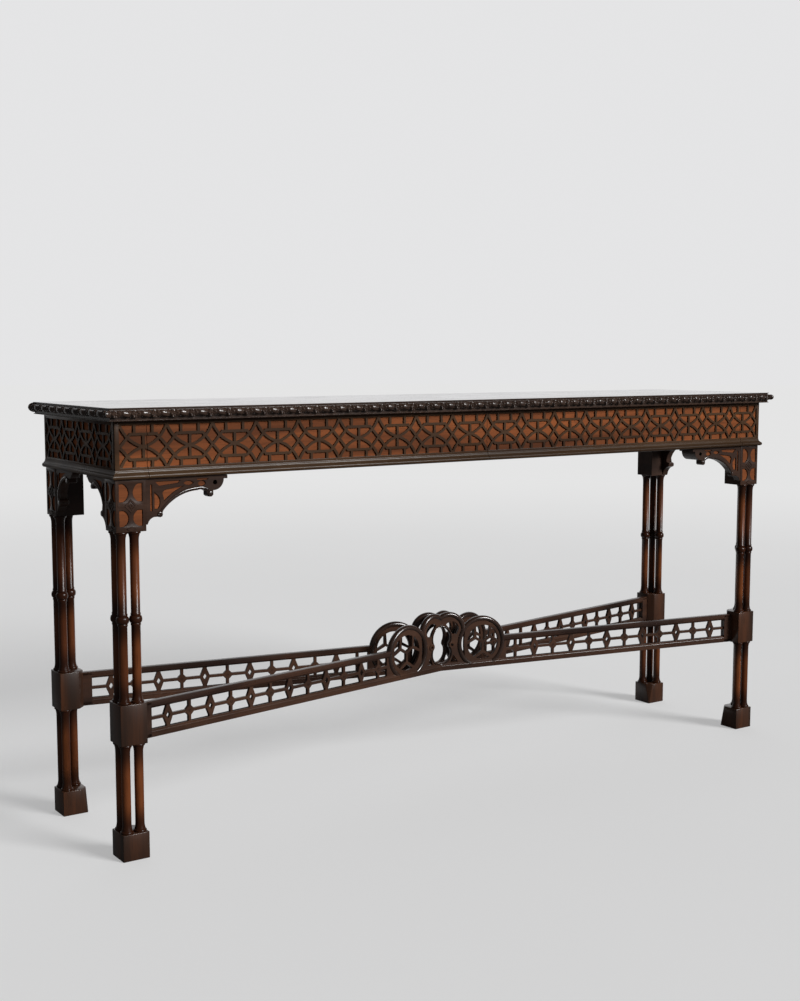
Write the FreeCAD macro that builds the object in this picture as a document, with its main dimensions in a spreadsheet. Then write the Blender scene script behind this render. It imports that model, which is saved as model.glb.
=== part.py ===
import FreeCAD, Part
import math
import os
import re

from FreeCAD import Placement, Rotation, Vector

# Pier table in the Gothic taste: a long frieze with two drawers, applied blind frets and a carved top
# edge, on four legs of clustered columns, tied by two V-shaped pierced stretchers whose crests stand
# back to back at the middle.
#
# Frame: X runs along the table, Y to the back, Z up. The origin is on the floor under the middle.
# "Outer faces" are the faces of the frieze, capitals, leg blocks and feet, which lie in one plane.

SIZES = (
    # alias, value in mm, meaning
    ("frame_length", 1752.0, "between the outer faces along X"),
    ("frame_depth", 376.0, "between the outer faces along Y"),
    ("table_height", 875.0, "floor to the top surface"),
    ("top_thickness", 25.0, "top board and the moulding round it"),
    ("frieze_height", 110.0, "underside of the top to the underside of the bead"),
    ("edge_reach", 25.0, "how far the carved edge stands out of the frieze"),
    ("edge_fillet_reach", 16.0, "flat fillet above the carved roll"),
    ("edge_fillet_height", 4.0, "height of that fillet"),
    ("edge_roll_root", 18.0, "reach of the roll where it meets the fillet and the foot"),
    ("edge_foot_reach", 17.0, "flat foot below the carved roll"),
    ("edge_foot_height", 6.0, "height of that foot"),
    ("fret_thickness", 3.5, "applied blind fret"),
    ("bead_height", 17.0, "bead moulding at the foot of the frieze"),
    ("bead_reach", 7.0, "how far the bead stands out of the outer face"),
    ("capital_width", 61.0, "along X"),
    ("capital_depth", 55.0, "along Y"),
    ("capital_height", 100.0, "bead to the column tops"),
    ("capital_sinking", 3.2, "depth of the openings in the capital's fret"),
    ("capital_stile", 8.0, "edge of the capital to the nearest opening"),
    ("capital_strap", 10.0, "upright strap between a pair of bowed openings"),
    ("frieze_end_width", 65.5, "fixed end of the front frieze, along X"),
    ("block_side", 55.0, "square leg block"),
    ("block_height", 80.0, "leg block"),
    ("block_level", 228.0, "floor to the underside of the leg block"),
    ("block_chamfer", 14.0, "inner corner of the block and of the foot"),
    ("foot_side", 55.0, "square foot"),
    ("foot_height", 53.0, "foot"),
    ("foot_chamfer", 2.0, "inner corner of the foot at the floor"),
    ("column_radius", 9.0, "column shaft"),
    ("column_margin", 13.8, "outer face to the nearest column axis"),
    ("column_pitch", 27.0, "between column axes"),
    ("stretcher_height", 72.0, "stretcher away from its crest"),
    ("stretcher_thickness", 15.0, "stretcher rails"),
    ("stretcher_web", 7.0, "pierced field between the rails"),
    ("stretcher_lift", 1.0, "underside of the leg block to the underside of the stretcher"),
    ("stretcher_gap", 0.1, "between the two stretchers where they meet back to back"),
    ("stretcher_run_in", 32.6, "outer face to the stretcher's mid plane at the leg block, along Y"),
    ("lower_rail", 15.5, "bottom rail of the stretcher"),
    ("upper_rail", 14.0, "top rail of the stretcher"),
    ("node_count", 12, "lozenges and bosses in half a stretcher"),
    ("stretcher_end", 20.6, "plain end of the stretcher at the leg block"),
    ("first_node", 202.0, "middle of the table to the innermost boss"),
    ("strap_width", 6.5, "mid bar and posts of the stretcher"),
    ("lozenge_width", 24.0, "lozenge along the stretcher"),
    ("lozenge_neck", 9.0, "lozenge where it meets a rail"),
    ("boss_width", 18.0, "boss along the stretcher"),
    ("lozenge_hole", 8.5, "hole in a lozenge, along the stretcher"),
    ("crest_height", 139.0, "underside of the stretcher to the top of its crest"),
    ("wheel_distance", 108.0, "middle of the table to the axis of the crest's wheel"),
    ("wheel_radius", 64.0, "outside of the wheel"),
    ("wheel_bore", 43.0, "inside of the wheel"),
    ("wheel_axis", 60.0, "underside of the stretcher to the wheel's axis"),
    ("wheel_strap", 6.5, "forked spokes of the wheel"),
    ("lobe_offset", 22.0, "middle of the table to the axis of the crest's lobe"),
    ("lobe_radius", 44.0, "outside of the lobe"),
    ("bracket_thickness", 20.0, "brackets"),
    ("front_bracket_length", 173.0, "front brackets"),
    ("side_bracket_length", 95.0, "side brackets"),
    ("bracket_ear_depth", 48.0, "ear at the tip of a front bracket, along Y"),
    ("bracket_clearance", 1.0, "bracket below the bead of the drawer"),
    ("bracket_sinking", 2.0, "depth of the field sunk in a bracket's face"),
    ("apron_thickness", 20.0, "side and back aprons"),
    ("rail_depth", 44.0, "front rails, along Y"),
    ("rail_thickness", 14.0, "front rails"),
    ("divider_thickness", 14.0, "board between the drawers"),
    ("runner_ledge", 20.0, "ledge under a drawer side"),
    ("runner_thickness", 13.7, "ledge"),
    ("runner_rise", 1.7, "lower front rail to the top of the ledge behind it"),
    ("guide_height", 24.0, "guide beside the outer drawer side"),
    ("front_thickness", 18.0, "drawer front"),
    ("drawer_gap", 1.0, "beside and above a drawer front"),
    ("drawer_seat", 0.3, "drawer front to the rails behind it, closed"),
    ("drawer_side_gap", 1.5, "drawer side to its guide"),
    ("drawer_side_inset", 1.1, "end of the drawer front to its outer side"),
    ("drawer_lift", 0.3, "drawer side above its runner"),
    ("drawer_back_gap", 14.5, "closed drawer to the glue blocks behind it"),
    ("drawer_top_gap", 3.0, "drawer sides to the upper front rail above them"),
    ("drawer_board", 10.0, "drawer sides and back"),
    ("drawer_bottom_thickness", 6.0, "drawer bottom"),
    ("drawer_bottom_rise", 7.0, "drawer bottom above the sides' lower edge"),
    ("glue_block", 24.0, "square of a glue block"),
    ("glue_block_length", 60.0, "glue block"),
    ("glue_block_count", 6, "glue blocks along the back"),
)

doc = FreeCAD.newDocument("PierTable")
sheet = doc.addObject("Spreadsheet::Sheet", "Sizes")
for row, (alias, value, meaning) in enumerate(SIZES, 1):
    sheet.set("A%d" % row, meaning)
    sheet.set("B%d" % row, str(value))
    sheet.setAlias("B%d" % row, alias)
doc.recompute()

ALIASES = {alias for alias, value, meaning in SIZES}
subparts = []


def size(alias):
    """The value of one cell of the sheet."""
    return float(sheet.get(alias))


def bind(target, prop, formula):
    """Bind a property to a formula of the sheet's sizes."""
    def sheet_name(found):
        word = found.group(0)
        return "Sizes." + word if word in ALIASES else word
    target.setExpression(prop, re.sub(r"[a-z]\w*", sheet_name, formula))


def bind_base(target, corner):
    for axis, formula in zip("xyz", corner):
        bind(target, "Placement.Base." + axis, formula)


# Levels and planes that several pieces share

HALF_X = size("frame_length") / 2
HALF_Y = size("frame_depth") / 2
FRIEZE_TOP = "table_height - top_thickness"
FRIEZE_FOOT = "(table_height - top_thickness - frieze_height)"
CAPITAL_FOOT = "(table_height - top_thickness - frieze_height - capital_height)"
BLOCK_TOP = "(block_level + block_height)"
FRET_FOOT = "(table_height - top_thickness - frieze_height + bead_height)"
BRACKET_TOP = "(table_height - top_thickness - frieze_height - bracket_clearance)"
FRONT_GROUND = "(fret_thickness - frame_depth/2)"
RAIL_FACE = "(fret_thickness - frame_depth/2 + front_thickness + drawer_seat)"
RAIL_BACK = "(fret_thickness - frame_depth/2 + front_thickness + drawer_seat + rail_depth)"
RUNNER_TOP = "(%s + rail_thickness + runner_rise)" % BRACKET_TOP


# Helpers for boards and bodies


def board(label, corner, lengths, keep=True):
    """A rectangular board from formulas for its low corner and its lengths along X, Y and Z."""
    box = doc.addObject("Part::Box", label)
    bind_base(box, corner)
    for prop, formula in zip(("Length", "Width", "Height"), lengths):
        bind(box, prop, formula)
    if keep:
        subparts.append(box)
    return box


def group(label, members):
    """Separate solids of one node."""
    compound = doc.addObject("Part::Compound", label)
    compound.Links = members
    subparts.append(compound)
    return compound


def new_body(label, corner=("0", "0", "0"), turn=0.0, keep=True):
    """A body turned about Z, with its origin at the given formulas."""
    body = doc.addObject("PartDesign::Body", label)
    body.Placement = Placement(Vector(), Rotation(Vector(0, 0, 1), turn))
    bind_base(body, corner)
    if keep:
        subparts.append(body)
    return body


def outline(start, *steps):
    """Closed loop of lines (a step is a point) and arcs (a step is a mid point and an end point)."""
    edges = []
    here = Vector(*start)
    for step in steps + (start,):
        if isinstance(step[0], tuple):
            middle, end = (Vector(*point) for point in step)
            edges.append(Part.Arc(here, middle, end))
        else:
            end = Vector(*step)
            if here.isEqual(end, 1e-6):
                continue
            edges.append(Part.LineSegment(here, end))
        here = end
    return edges


def draw(body, plane, loops, lift=None):
    """A sketch of closed loops on one of the body's origin planes, lifted along the normal."""
    sketch = body.newObject("Sketcher::SketchObject", body.Name + "_sketch")
    support = next(item for item in body.Origin.OriginFeatures if item.Role == plane)
    sketch.AttachmentSupport = (support, [""])
    sketch.MapMode = "FlatFace"
    if lift is not None:
        bind(sketch, "AttachmentOffset.Base.z", lift)
    for loop in loops:
        sketch.addGeometry(loop, False)
    return sketch


def pad(body, sketch, length, both=False, back=False):
    feature = body.newObject("PartDesign::Pad", body.Name + "_pad")
    feature.Profile = sketch
    bind(feature, "Length", length)
    feature.Midplane = both
    feature.Reversed = back
    return feature


def pocket(body, sketch, length=None, back=False):
    """A pocket of the given depth, or right through both ways where no depth is given."""
    feature = body.newObject("PartDesign::Pocket", body.Name + "_pocket")
    feature.Profile = sketch
    if length is None:
        feature.Type = "ThroughAll"
        feature.Midplane = True
    else:
        bind(feature, "Length", length)
        feature.Reversed = back
    return feature


def rectangle(x_one, y_one, x_two, y_two):
    return outline((x_one, y_one), (x_two, y_one), (x_two, y_two), (x_one, y_two))


# Top board and its carved edge moulding


def moulding(label, profile, run, reach, mitres, corner, turn, keep=True):
    """A straight moulding along local X whose profile stands out towards local -Y.

    run is the formula of its length at the wall, and mitres names the ends that are mitred.
    """
    body = new_body(label, corner, turn, keep)
    pad(body, draw(body, "YZ_Plane", [profile]), "%s + 2*%s" % (run, reach), both=True)
    half = size(run) / 2
    over = size(reach) + 5
    cuts = []
    for end in (-1, 1):
        if end in mitres:
            far = end * (half + over)
            cuts.append(outline((end * (half - 5), 5), (far, 5), (far, -over)))
        else:
            cuts.append(rectangle(end * half, 5, end * (half + over), -over))
    pocket(body, draw(body, "XY_Plane", cuts))
    return body


def edge_profile():
    """Fillet, carved roll and foot of the top's edge, from the top surface down."""
    roll_top = -size("edge_fillet_height")
    foot_top = size("edge_foot_height") - size("top_thickness")
    fillet, root, foot = -size("edge_fillet_reach"), -size("edge_roll_root"), -size("edge_foot_reach")
    return outline(
        (0, 0), (fillet, 0), (fillet, roll_top), (root, roll_top),
        ((-size("edge_reach"), (roll_top + foot_top) / 2), (root, foot_top)),
        (foot, foot_top), (foot, -size("top_thickness")), (0, -size("top_thickness")),
    )


board(
    "top_board", ("-frame_length/2", "-frame_depth/2", FRIEZE_TOP),
    ("frame_length", "frame_depth", "top_thickness"),
)
for side, run, turn, corner in (
    ("front", "frame_length", 0, ("0", "-frame_depth/2", "table_height")),
    ("back", "frame_length", 180, ("0", "frame_depth/2", "table_height")),
    ("right", "frame_depth", 90, ("frame_length/2", "0", "table_height")),
    ("left", "frame_depth", -90, ("-frame_length/2", "0", "table_height")),
):
    moulding("top_moulding_" + side, edge_profile(), run, "edge_reach", (-1, 1), corner, turn)


# Legs: post with its capital, columns, block and foot


def capital_openings(width, way):
    """Openings of the capital's fret on one face: two pairs, each bowed towards the strap between them.

    width is the face's width, and way the direction in which it runs from the outer corner.
    """
    stile, height = size("capital_stile"), size("capital_height")
    reach = (width - size("capital_strap")) / 2
    loops = []
    for low, high in ((0.12 * height, 0.42 * height), (0.57 * height, 0.91 * height)):
        middle = (low + high) / 2
        one = ((stile, low), (stile, high), (0.7 * reach, high), (reach, middle), (0.7 * reach, low))
        loops.append(outline(*((way * x, z) for x, z in one)))
        loops.append(outline(*((way * (width - x), z) for x, z in one)))
    return loops


def leg_post(label, side, end):
    """Capital below and frieze corner above, in one piece; local origin at its lower outer corner.

    The capital's fret is on its outer side face, and on its front face too where the leg is a front one.
    """
    body = new_body(label, ("%d*frame_length/2" % side, "%d*frame_depth/2" % end, CAPITAL_FOOT))
    wide, deep = -side * size("capital_width"), -end * size("capital_depth")
    pad(body, draw(body, "XY_Plane", [rectangle(0, 0, wide, deep)]), "capital_height")
    ground = size("fret_thickness")
    front = ground if end < 0 else 0
    corner = rectangle(-side * ground, front, -side * size("frieze_end_width"), deep)
    pad(body, draw(body, "XY_Plane", [corner], "capital_height"), "frieze_height")
    fret = draw(body, "YZ_Plane", capital_openings(size("capital_depth"), -end))
    pocket(body, fret, "capital_sinking", back=side < 0)
    if end < 0:
        fret = draw(body, "XZ_Plane", capital_openings(size("capital_width"), -side))
        pocket(body, fret, "capital_sinking")


def leg_columns(label, side, end):
    """Three upper and three lower columns in an L round the outer corner."""
    columns = []
    for step_x, step_y in ((0, 0), (1, 0), (0, 1)):
        x = "%d*(frame_length/2 - column_margin - %d*column_pitch)" % (side, step_x)
        y = "%d*(frame_depth/2 - column_margin - %d*column_pitch)" % (end, step_y)
        tiers = (("lower", "foot_height", "block_level"), ("upper", BLOCK_TOP, CAPITAL_FOOT))
        for tier, low, high in tiers:
            column = doc.addObject("Part::Cylinder", "%s_%d%d_%s" % (label, step_x, step_y, tier))
            bind_base(column, (x, y, low))
            bind(column, "Radius", "column_radius")
            bind(column, "Height", "%s - %s" % (high, low))
            columns.append(column)
    group(label, columns)


def chamfered_square(side, end, width, chamfer):
    """Square from the outer corner inwards, with its inner corner cut off."""
    return outline(
        (0, 0), (-side * width, 0), (-side * width, -end * (width - chamfer)),
        (-side * (width - chamfer), -end * width), (0, -end * width),
    )


def leg_block(label, side, end):
    body = new_body(label, ("%d*frame_length/2" % side, "%d*frame_depth/2" % end, "block_level"))
    shape = chamfered_square(side, end, size("block_side"), size("block_chamfer"))
    pad(body, draw(body, "XY_Plane", [shape]), "block_height")


def leg_foot(label, side, end):
    """Foot whose cut inner corner runs out to a full square at the floor."""
    body = new_body(label, ("%d*frame_length/2" % side, "%d*frame_depth/2" % end, "0"))
    width, height = size("foot_side"), size("foot_height")
    pad(body, draw(body, "XY_Plane", [rectangle(0, 0, -side * width, -end * width)]), "foot_height")
    low, high = ((2 * width - size(cut)) / math.sqrt(2) for cut in ("foot_chamfer", "block_chamfer"))
    reach = 2 * width
    sketch = draw(body, "XZ_Plane", [outline((low, 0), (high, height), (reach, height), (reach, 0))])
    # The sketch stands on the diagonal from the outer corner to the inner one.
    diagonal = Rotation(Vector(0, 1, 0), math.degrees(math.atan2(-end, -side)))
    sketch.AttachmentOffset = Placement(Vector(), diagonal)
    pocket(body, sketch)


LEGS = (("front_left", -1, -1), ("front_right", 1, -1), ("rear_left", -1, 1), ("rear_right", 1, 1))
for place, side, end in LEGS:
    leg_post("leg_post_" + place, side, end)
    leg_columns("leg_columns_" + place, side, end)
    leg_block("leg_block_" + place, side, end)
    leg_foot("leg_foot_" + place, side, end)


# Stretchers: local X from the middle of the table out to the leg block, local Z up, local Y through the
# thickness with 0 on the mid plane


def polar(radius, degrees, centre=(0, 0)):
    turn = math.radians(degrees)
    return (centre[0] + radius * math.cos(turn), centre[1] + radius * math.sin(turn))


def meeting(one, radius_one, two, radius_two):
    """Upper meeting point of two circles."""
    apart = math.dist(one, two)
    along = (radius_one**2 - radius_two**2 + apart**2) / (2 * apart)
    up = math.sqrt(radius_one**2 - along**2)
    unit = ((two[0] - one[0]) / apart, (two[1] - one[1]) / apart)
    foot = (one[0] + along * unit[0], one[1] + along * unit[1])
    points = [(foot[0] + sign * up * unit[1], foot[1] - sign * up * unit[0]) for sign in (-1, 1)]
    return max(points, key=lambda point: point[1])


def crest_outline(inner, outer):
    """Outline of half a stretcher: rail, wheel and lobe of the crest, between the two ends."""
    height, foot = size("stretcher_height"), 0.0
    wheel = (size("wheel_distance"), size("wheel_axis"))
    lobe = (size("lobe_offset"), size("crest_height") - size("lobe_radius"))
    wheel_r, lobe_r = size("wheel_radius"), size("lobe_radius")
    rail_meet = (wheel[0] + math.sqrt(wheel_r**2 - (height - wheel[1]) ** 2), height)
    notch = meeting(wheel, wheel_r, lobe, lobe_r)
    lobe_end = lobe[1] + math.sqrt(lobe_r**2 - lobe[0] ** 2)
    return outline(
        (inner, foot), (outer, foot), (outer, height), rail_meet,
        (polar(wheel_r, 80, wheel), notch),
        (polar(lobe_r, 75, lobe), (0, lobe_end)),
        (inner, lobe_end),
    )


def wheel_openings():
    """Openings between the wheel's three forked spokes."""
    centre = (size("wheel_distance"), size("wheel_axis"))
    bore, strap = size("wheel_bore"), size("wheel_strap")
    fork, spread, rim = bore / 2, 30, math.degrees(strap / bore) / 2
    loops = []
    for spoke in (30, 150, 270):
        middle = spoke + 60
        heart = polar(strap / 2 / math.sin(math.radians(60)), middle, centre)
        lean = math.degrees(math.atan2(strap / 2, fork))
        near, far = polar(fork, spoke + lean, centre), polar(fork, spoke + 120 - lean, centre)
        start = polar(bore, spoke + spread + rim, centre)
        stop = polar(bore, spoke + 120 - spread - rim, centre)
        loops.append(outline(heart, near, start, (polar(bore, middle, centre), stop), far))
        tip = polar(fork + strap, spoke, centre)
        left, right = polar(bore, spoke - spread + rim, centre), polar(bore, spoke + spread - rim, centre)
        loops.append(outline(tip, left, (polar(bore, spoke, centre), right)))
    return loops


def crest_openings():
    """Keyhole half, strap gap, corner gap, eye of the boss and the slot beside the wheel."""
    rail = size("lower_rail") + 2.5
    boss = (size("wheel_distance") - size("wheel_radius") - 14, size("wheel_axis"))
    keyhole = outline(
        (-8, rail), (0, rail), ((boss[0] - 5.5, boss[1] - 17.5), (boss[0] - 7, boss[1] - 9.3)),
        ((boss[0] - 12, boss[1]), (boss[0] - 8.5, boss[1] + 9.3)),
        ((boss[0] - 6.5, boss[1] + 21), (0, boss[1] + 44.5)), (-8, boss[1] + 44.5),
    )
    strap_gap = outline(
        (boss[0] - 12, boss[1] + 54), ((boss[0] + 10, boss[1] + 53), (boss[0] + 23, boss[1] + 34)),
        (boss[0] + 16, boss[1] + 23), (boss[0] + 6, boss[1] + 24),
        ((boss[0], boss[1] + 40), (boss[0] - 12, boss[1] + 54)),
    )
    corner_gap = outline((boss[0] - 2, rail), (boss[0] + 19, rail), (boss[0] + 6.5, rail + 18))
    wheel = (size("wheel_distance"), size("wheel_axis"))
    outer, inner = size("wheel_radius") - 6, size("wheel_bore") + 9.5
    slot = outline(
        polar(outer - 2, 146, wheel), (polar(outer, 180, wheel), polar(outer - 2, 214, wheel)),
        (polar(inner, 180, wheel), polar(outer - 2, 146, wheel)),
    )
    eye = outline(
        (boss[0] - 4, boss[1]), (boss[0], boss[1] - 4), (boss[0] + 4, boss[1]), (boss[0], boss[1] + 4),
    )
    return [keyhole, strap_gap, corner_gap, eye, slot]


def corners():
    """Corners of the openings beside a boss, beside a lozenge and beside a plain wall.

    Each corner is a distance from the piece's axis and a height above the mid bar's axis, rail first.
    """
    roof = (size("stretcher_height") - size("upper_rail") - size("lower_rail")) / 2
    half, boss = size("strap_width") / 2, size("boss_width") / 2
    neck, lozenge = size("lozenge_neck") / 2, size("lozenge_width") / 2
    shoulder = roof - 3
    lozenge_at_bar = lozenge - (lozenge - neck) * half / shoulder
    beside_boss = [(half, roof), (half, boss), (boss, half)]
    beside_lozenge = [(neck, roof), (neck, shoulder), (lozenge_at_bar, half)]
    beside_wall = [(0, roof), (0, half)]
    return beside_boss, beside_lozenge, beside_wall


def bay(left, left_corner, right, right_corner):
    """The opening above and the one below the mid bar, between two neighbours."""
    middle = (size("stretcher_height") - size("upper_rail") + size("lower_rail")) / 2
    loops = []
    for up in (-1, 1):
        points = [(left + away, middle + up * rise) for away, rise in left_corner]
        points += [(right - away, middle + up * rise) for away, rise in reversed(right_corner)]
        loops.append(outline(*points))
    return loops


def lozenge_hole(centre):
    middle = (size("stretcher_height") - size("upper_rail") + size("lower_rail")) / 2
    wide = size("lozenge_hole") / 2
    tall = 1.5 * wide
    return outline(
        (centre - wide, middle), (centre, middle - tall), (centre + wide, middle), (centre, middle + tall),
    )


def half_stretcher(label, side, end):
    """Half of a V-shaped stretcher with half its crest, from the middle of the table to one leg block."""
    thick = size("stretcher_thickness")
    block_face = HALF_X - size("block_side")
    far = HALF_Y - size("stretcher_run_in")
    near = thick / 2 / math.cos(math.atan2(far - thick / 2, block_face)) + size("stretcher_gap") / 2
    lean = math.atan2(far - near, block_face)
    run = math.hypot(far - near, block_face)
    turn = end * math.degrees(lean) if side > 0 else 180 - end * math.degrees(lean)
    body = new_body(label, ("0", "%.6f" % (end * near), "block_level + stretcher_lift"), turn)
    over = 6.0
    pad(body, draw(body, "XZ_Plane", [crest_outline(-over, run + over)]), "stretcher_thickness", both=True)

    first, outer_wall = size("first_node"), run - size("stretcher_end")
    pitch = (outer_wall - first) / (size("node_count") - 0.2)
    last = first + (size("node_count") - 2) * pitch
    inner_wall = size("wheel_distance") + size("wheel_radius") + 4
    roof = size("stretcher_height") - size("upper_rail")
    field = rectangle(inner_wall, size("lower_rail"), outer_wall, roof)
    depth = "(stretcher_thickness - stretcher_web)/2"
    for face, back in (("-stretcher_thickness/2", True), ("stretcher_thickness/2", False)):
        pocket(body, draw(body, "XZ_Plane", [field], face), depth, back)

    boss, lozenge, wall = corners()
    ends = bay(inner_wall, wall, first, boss) + bay(last, boss, last + pitch, lozenge)
    ends += bay(last + pitch, lozenge, outer_wall, wall) + [lozenge_hole(last + pitch)]
    pocket(body, draw(body, "XZ_Plane", wheel_openings() + crest_openings() + ends))
    cell = bay(first, boss, first + pitch, lozenge) + bay(first + pitch, lozenge, first + 2 * pitch, boss)
    sketch = draw(body, "XZ_Plane", cell + [lozenge_hole(first + pitch)])
    cells = pocket(body, sketch)
    pattern = body.newObject("PartDesign::LinearPattern", label + "_pattern")
    pattern.Originals = [cells]
    pattern.Direction = (sketch, ["H_Axis"])
    pattern.Length = pitch * (size("node_count") - 4)
    bind(pattern, "Occurrences", "node_count/2 - 1")
    body.Tip = pattern

    # Both ends are cut parallel to the table's middle plane, which the block's face is parallel to.
    slant = side * end * math.tan(lean)
    cuts = []
    for at, away in ((0.0, -1), (run, 1)):
        cuts.append(outline(
            (at - slant * thick, -thick), (at + slant * thick, thick),
            (at + away * 3 * over, thick), (at + away * 3 * over, -thick),
        ))
    pocket(body, draw(body, "XY_Plane", cuts, "stretcher_height"))


for place, side, end in LEGS:
    half_stretcher("stretcher_" + place, side, end)


# Brackets: local origin at the top, where the bracket meets the capital; "out" runs away from the capital


FRONT_BRACKET = (
    (0, 0), (173, 0), (173, 7), (165, 7), ((157, 24), (142, 29)), (142, 38), (138.5, 41), (132.5, 41),
    (129, 38), (129, 31), ((122, 27), (108, 27)), ((70, 36), (36, 62)), (34, 66), (34, 73.5), (17, 73.5),
    ((7.5, 79), (3.5, 87)), (0, 87),
)
SIDE_BRACKET = (
    (0, 0), (95, 0), (95, 6), (91, 6), ((84, 13), (72, 16)), (72, 24), (69, 26), (61, 26), (61, 18),
    ((30, 30), (15, 52)), (15, 62), (24, 65), (24, 74), (14, 78), ((6, 86), (2, 97)), (0, 97),
)
EAR_FROM = 140.0
FRONT_FIELD = ((17, 58), (17, 26), (35, 26), (41, 20), (78, 16), (58, 25), (39, 40), (27, 58))
SIDE_FIELD = ((5, 44), (5, 8), (60, 6), (35, 14), (18, 26), (9, 44))


def bracket_outline(points, way, grow):
    """The outline with its out direction along way and its lengths scaled to the bracket's length."""
    def place(point):
        return (way * grow * point[0], -point[1])
    steps = []
    for step in points:
        if isinstance(step[0], tuple):
            steps.append((place(step[0]), place(step[1])))
        else:
            steps.append(place(step))
    return outline(*steps)


def sink_face(body, plane, points, way, grow, back=False):
    """Sink the field inside a bracket's border into its outer face."""
    pocket(body, draw(body, plane, [bracket_outline(points, way, grow)]), "bracket_sinking", back)


def front_bracket(label, side):
    """Front bracket with the deeper ear at its tip."""
    body = new_body(label, ("%d*(frame_length/2 - capital_width)" % side, "-frame_depth/2", BRACKET_TOP))
    grow = size("front_bracket_length") / FRONT_BRACKET[1][0]
    sketch = draw(body, "XZ_Plane", [bracket_outline(FRONT_BRACKET, -side, grow)])
    pad(body, sketch, "bracket_thickness", back=True)
    ear = ((EAR_FROM, 0),) + FRONT_BRACKET[1:5] + ((EAR_FROM, 29),)
    sketch = draw(body, "XZ_Plane", [bracket_outline(ear, -side, grow)])
    pad(body, sketch, "bracket_ear_depth", back=True)
    sink_face(body, "XZ_Plane", FRONT_FIELD, -side, grow)


def side_bracket(label, side, end):
    corner = ("%d*frame_length/2" % side, "%d*(frame_depth/2 - capital_depth)" % end, FRIEZE_FOOT)
    body = new_body(label, corner)
    grow = size("side_bracket_length") / SIDE_BRACKET[1][0]
    sketch = draw(body, "YZ_Plane", [bracket_outline(SIDE_BRACKET, -end, grow)])
    pad(body, sketch, "bracket_thickness", back=side > 0)
    sink_face(body, "YZ_Plane", SIDE_FIELD, -end, grow, back=side < 0)


for place, side in (("left", -1), ("right", 1)):
    front_bracket("bracket_front_" + place, side)
    side_bracket("bracket_side_%s_front" % place, side, -1)
    side_bracket("bracket_side_%s_rear" % place, side, 1)


# Frieze: aprons, rails, divider and runners

POST_FACE = "(frame_length/2 - frieze_end_width)"
REAR_POST = "(frame_depth/2 - capital_depth)"

board(
    "apron_back", ("-" + POST_FACE, "frame_depth/2 - apron_thickness", FRIEZE_FOOT),
    ("2*" + POST_FACE, "apron_thickness", "frieze_height"),
)
for place, low in (
    ("left", "fret_thickness - frame_length/2"),
    ("right", "frame_length/2 - fret_thickness - apron_thickness"),
):
    lengths = ("apron_thickness", "2*" + REAR_POST, "frieze_height")
    board("apron_" + place, (low, "-" + REAR_POST, FRIEZE_FOOT), lengths)
for place, low in (("lower", BRACKET_TOP), ("upper", FRIEZE_TOP + " - rail_thickness")):
    lengths = ("2*" + POST_FACE, "rail_depth", "rail_thickness")
    board("front_rail_" + place, ("-" + POST_FACE, RAIL_FACE, low), lengths)


def divider(label):
    """Board between the drawers, notched round both front rails."""
    body = new_body(label, ("0", RAIL_FACE, BRACKET_TOP))
    rail, depth = size("rail_thickness"), size("rail_depth")
    top = size("frieze_height") + size("bracket_clearance")
    back = size("frame_depth") - size("fret_thickness") - size("front_thickness") - size("drawer_seat")
    back -= size("apron_thickness")
    shape = outline(
        (0, rail), (depth, rail), (depth, 0), (back, 0),
        (back, top), (depth, top), (depth, top - rail), (0, top - rail),
    )
    pad(body, draw(body, "YZ_Plane", [shape]), "divider_thickness", both=True)


def outer_runner(label, side):
    """Ledge for the outer drawer side, with the guide that keeps the drawer straight."""
    body = new_body(label, ("%d*%s" % (side, POST_FACE), RAIL_BACK, RUNNER_TOP))
    ledge, thick = size("runner_ledge"), size("runner_thickness")
    wall = size("frieze_end_width") - size("fret_thickness") - size("apron_thickness")
    guide = size("drawer_gap") + size("drawer_side_inset") - size("drawer_side_gap")
    high = size("guide_height")
    shape = [(-ledge, 0), (-ledge, -thick), (wall, -thick), (wall, high), (-guide, high), (-guide, 0)]
    sketch = draw(body, "XZ_Plane", [outline(*((side * x, z) for x, z in shape))])
    pad(body, sketch, "%s - %s" % (REAR_POST, RAIL_BACK), back=True)


divider("drawer_divider")
for place, side in (("left", -1), ("right", 1)):
    outer_runner("runner_%s_outer" % place, side)
    low = "divider_thickness/2" if side > 0 else "-divider_thickness/2 - runner_ledge"
    board(
        "runner_%s_inner" % place, (low, RAIL_BACK, RUNNER_TOP + " - runner_thickness"),
        ("runner_ledge", "frame_depth/2 - apron_thickness - %s" % RAIL_BACK, "runner_thickness"),
    )
blocks = []
for number in range(int(size("glue_block_count"))):
    low = "%s*(%d/glue_block_count - 1) - glue_block_length/2" % (POST_FACE, 2 * number + 1)
    corner = (low, "frame_depth/2 - apron_thickness - glue_block", FRIEZE_TOP + " - glue_block")
    lengths = ("glue_block_length", "glue_block", "glue_block")
    blocks.append(board("glue_block_%d" % number, corner, lengths, keep=False))
group("glue_blocks", blocks)


# Fixed frets and beads on the sides, each with its short return on the front


def bead_profile():
    """Bead with a cove above it, as (out, up) points from the foot of the frieze."""
    ground, reach, height = size("fret_thickness"), size("bead_reach"), size("bead_height")
    return outline(
        (ground, 0), (0, 0), (-0.7 * reach, 0.12 * height), (-reach, 0.42 * height),
        (-0.3 * reach, 0.75 * height), (0, height), (ground, height),
    )


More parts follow.
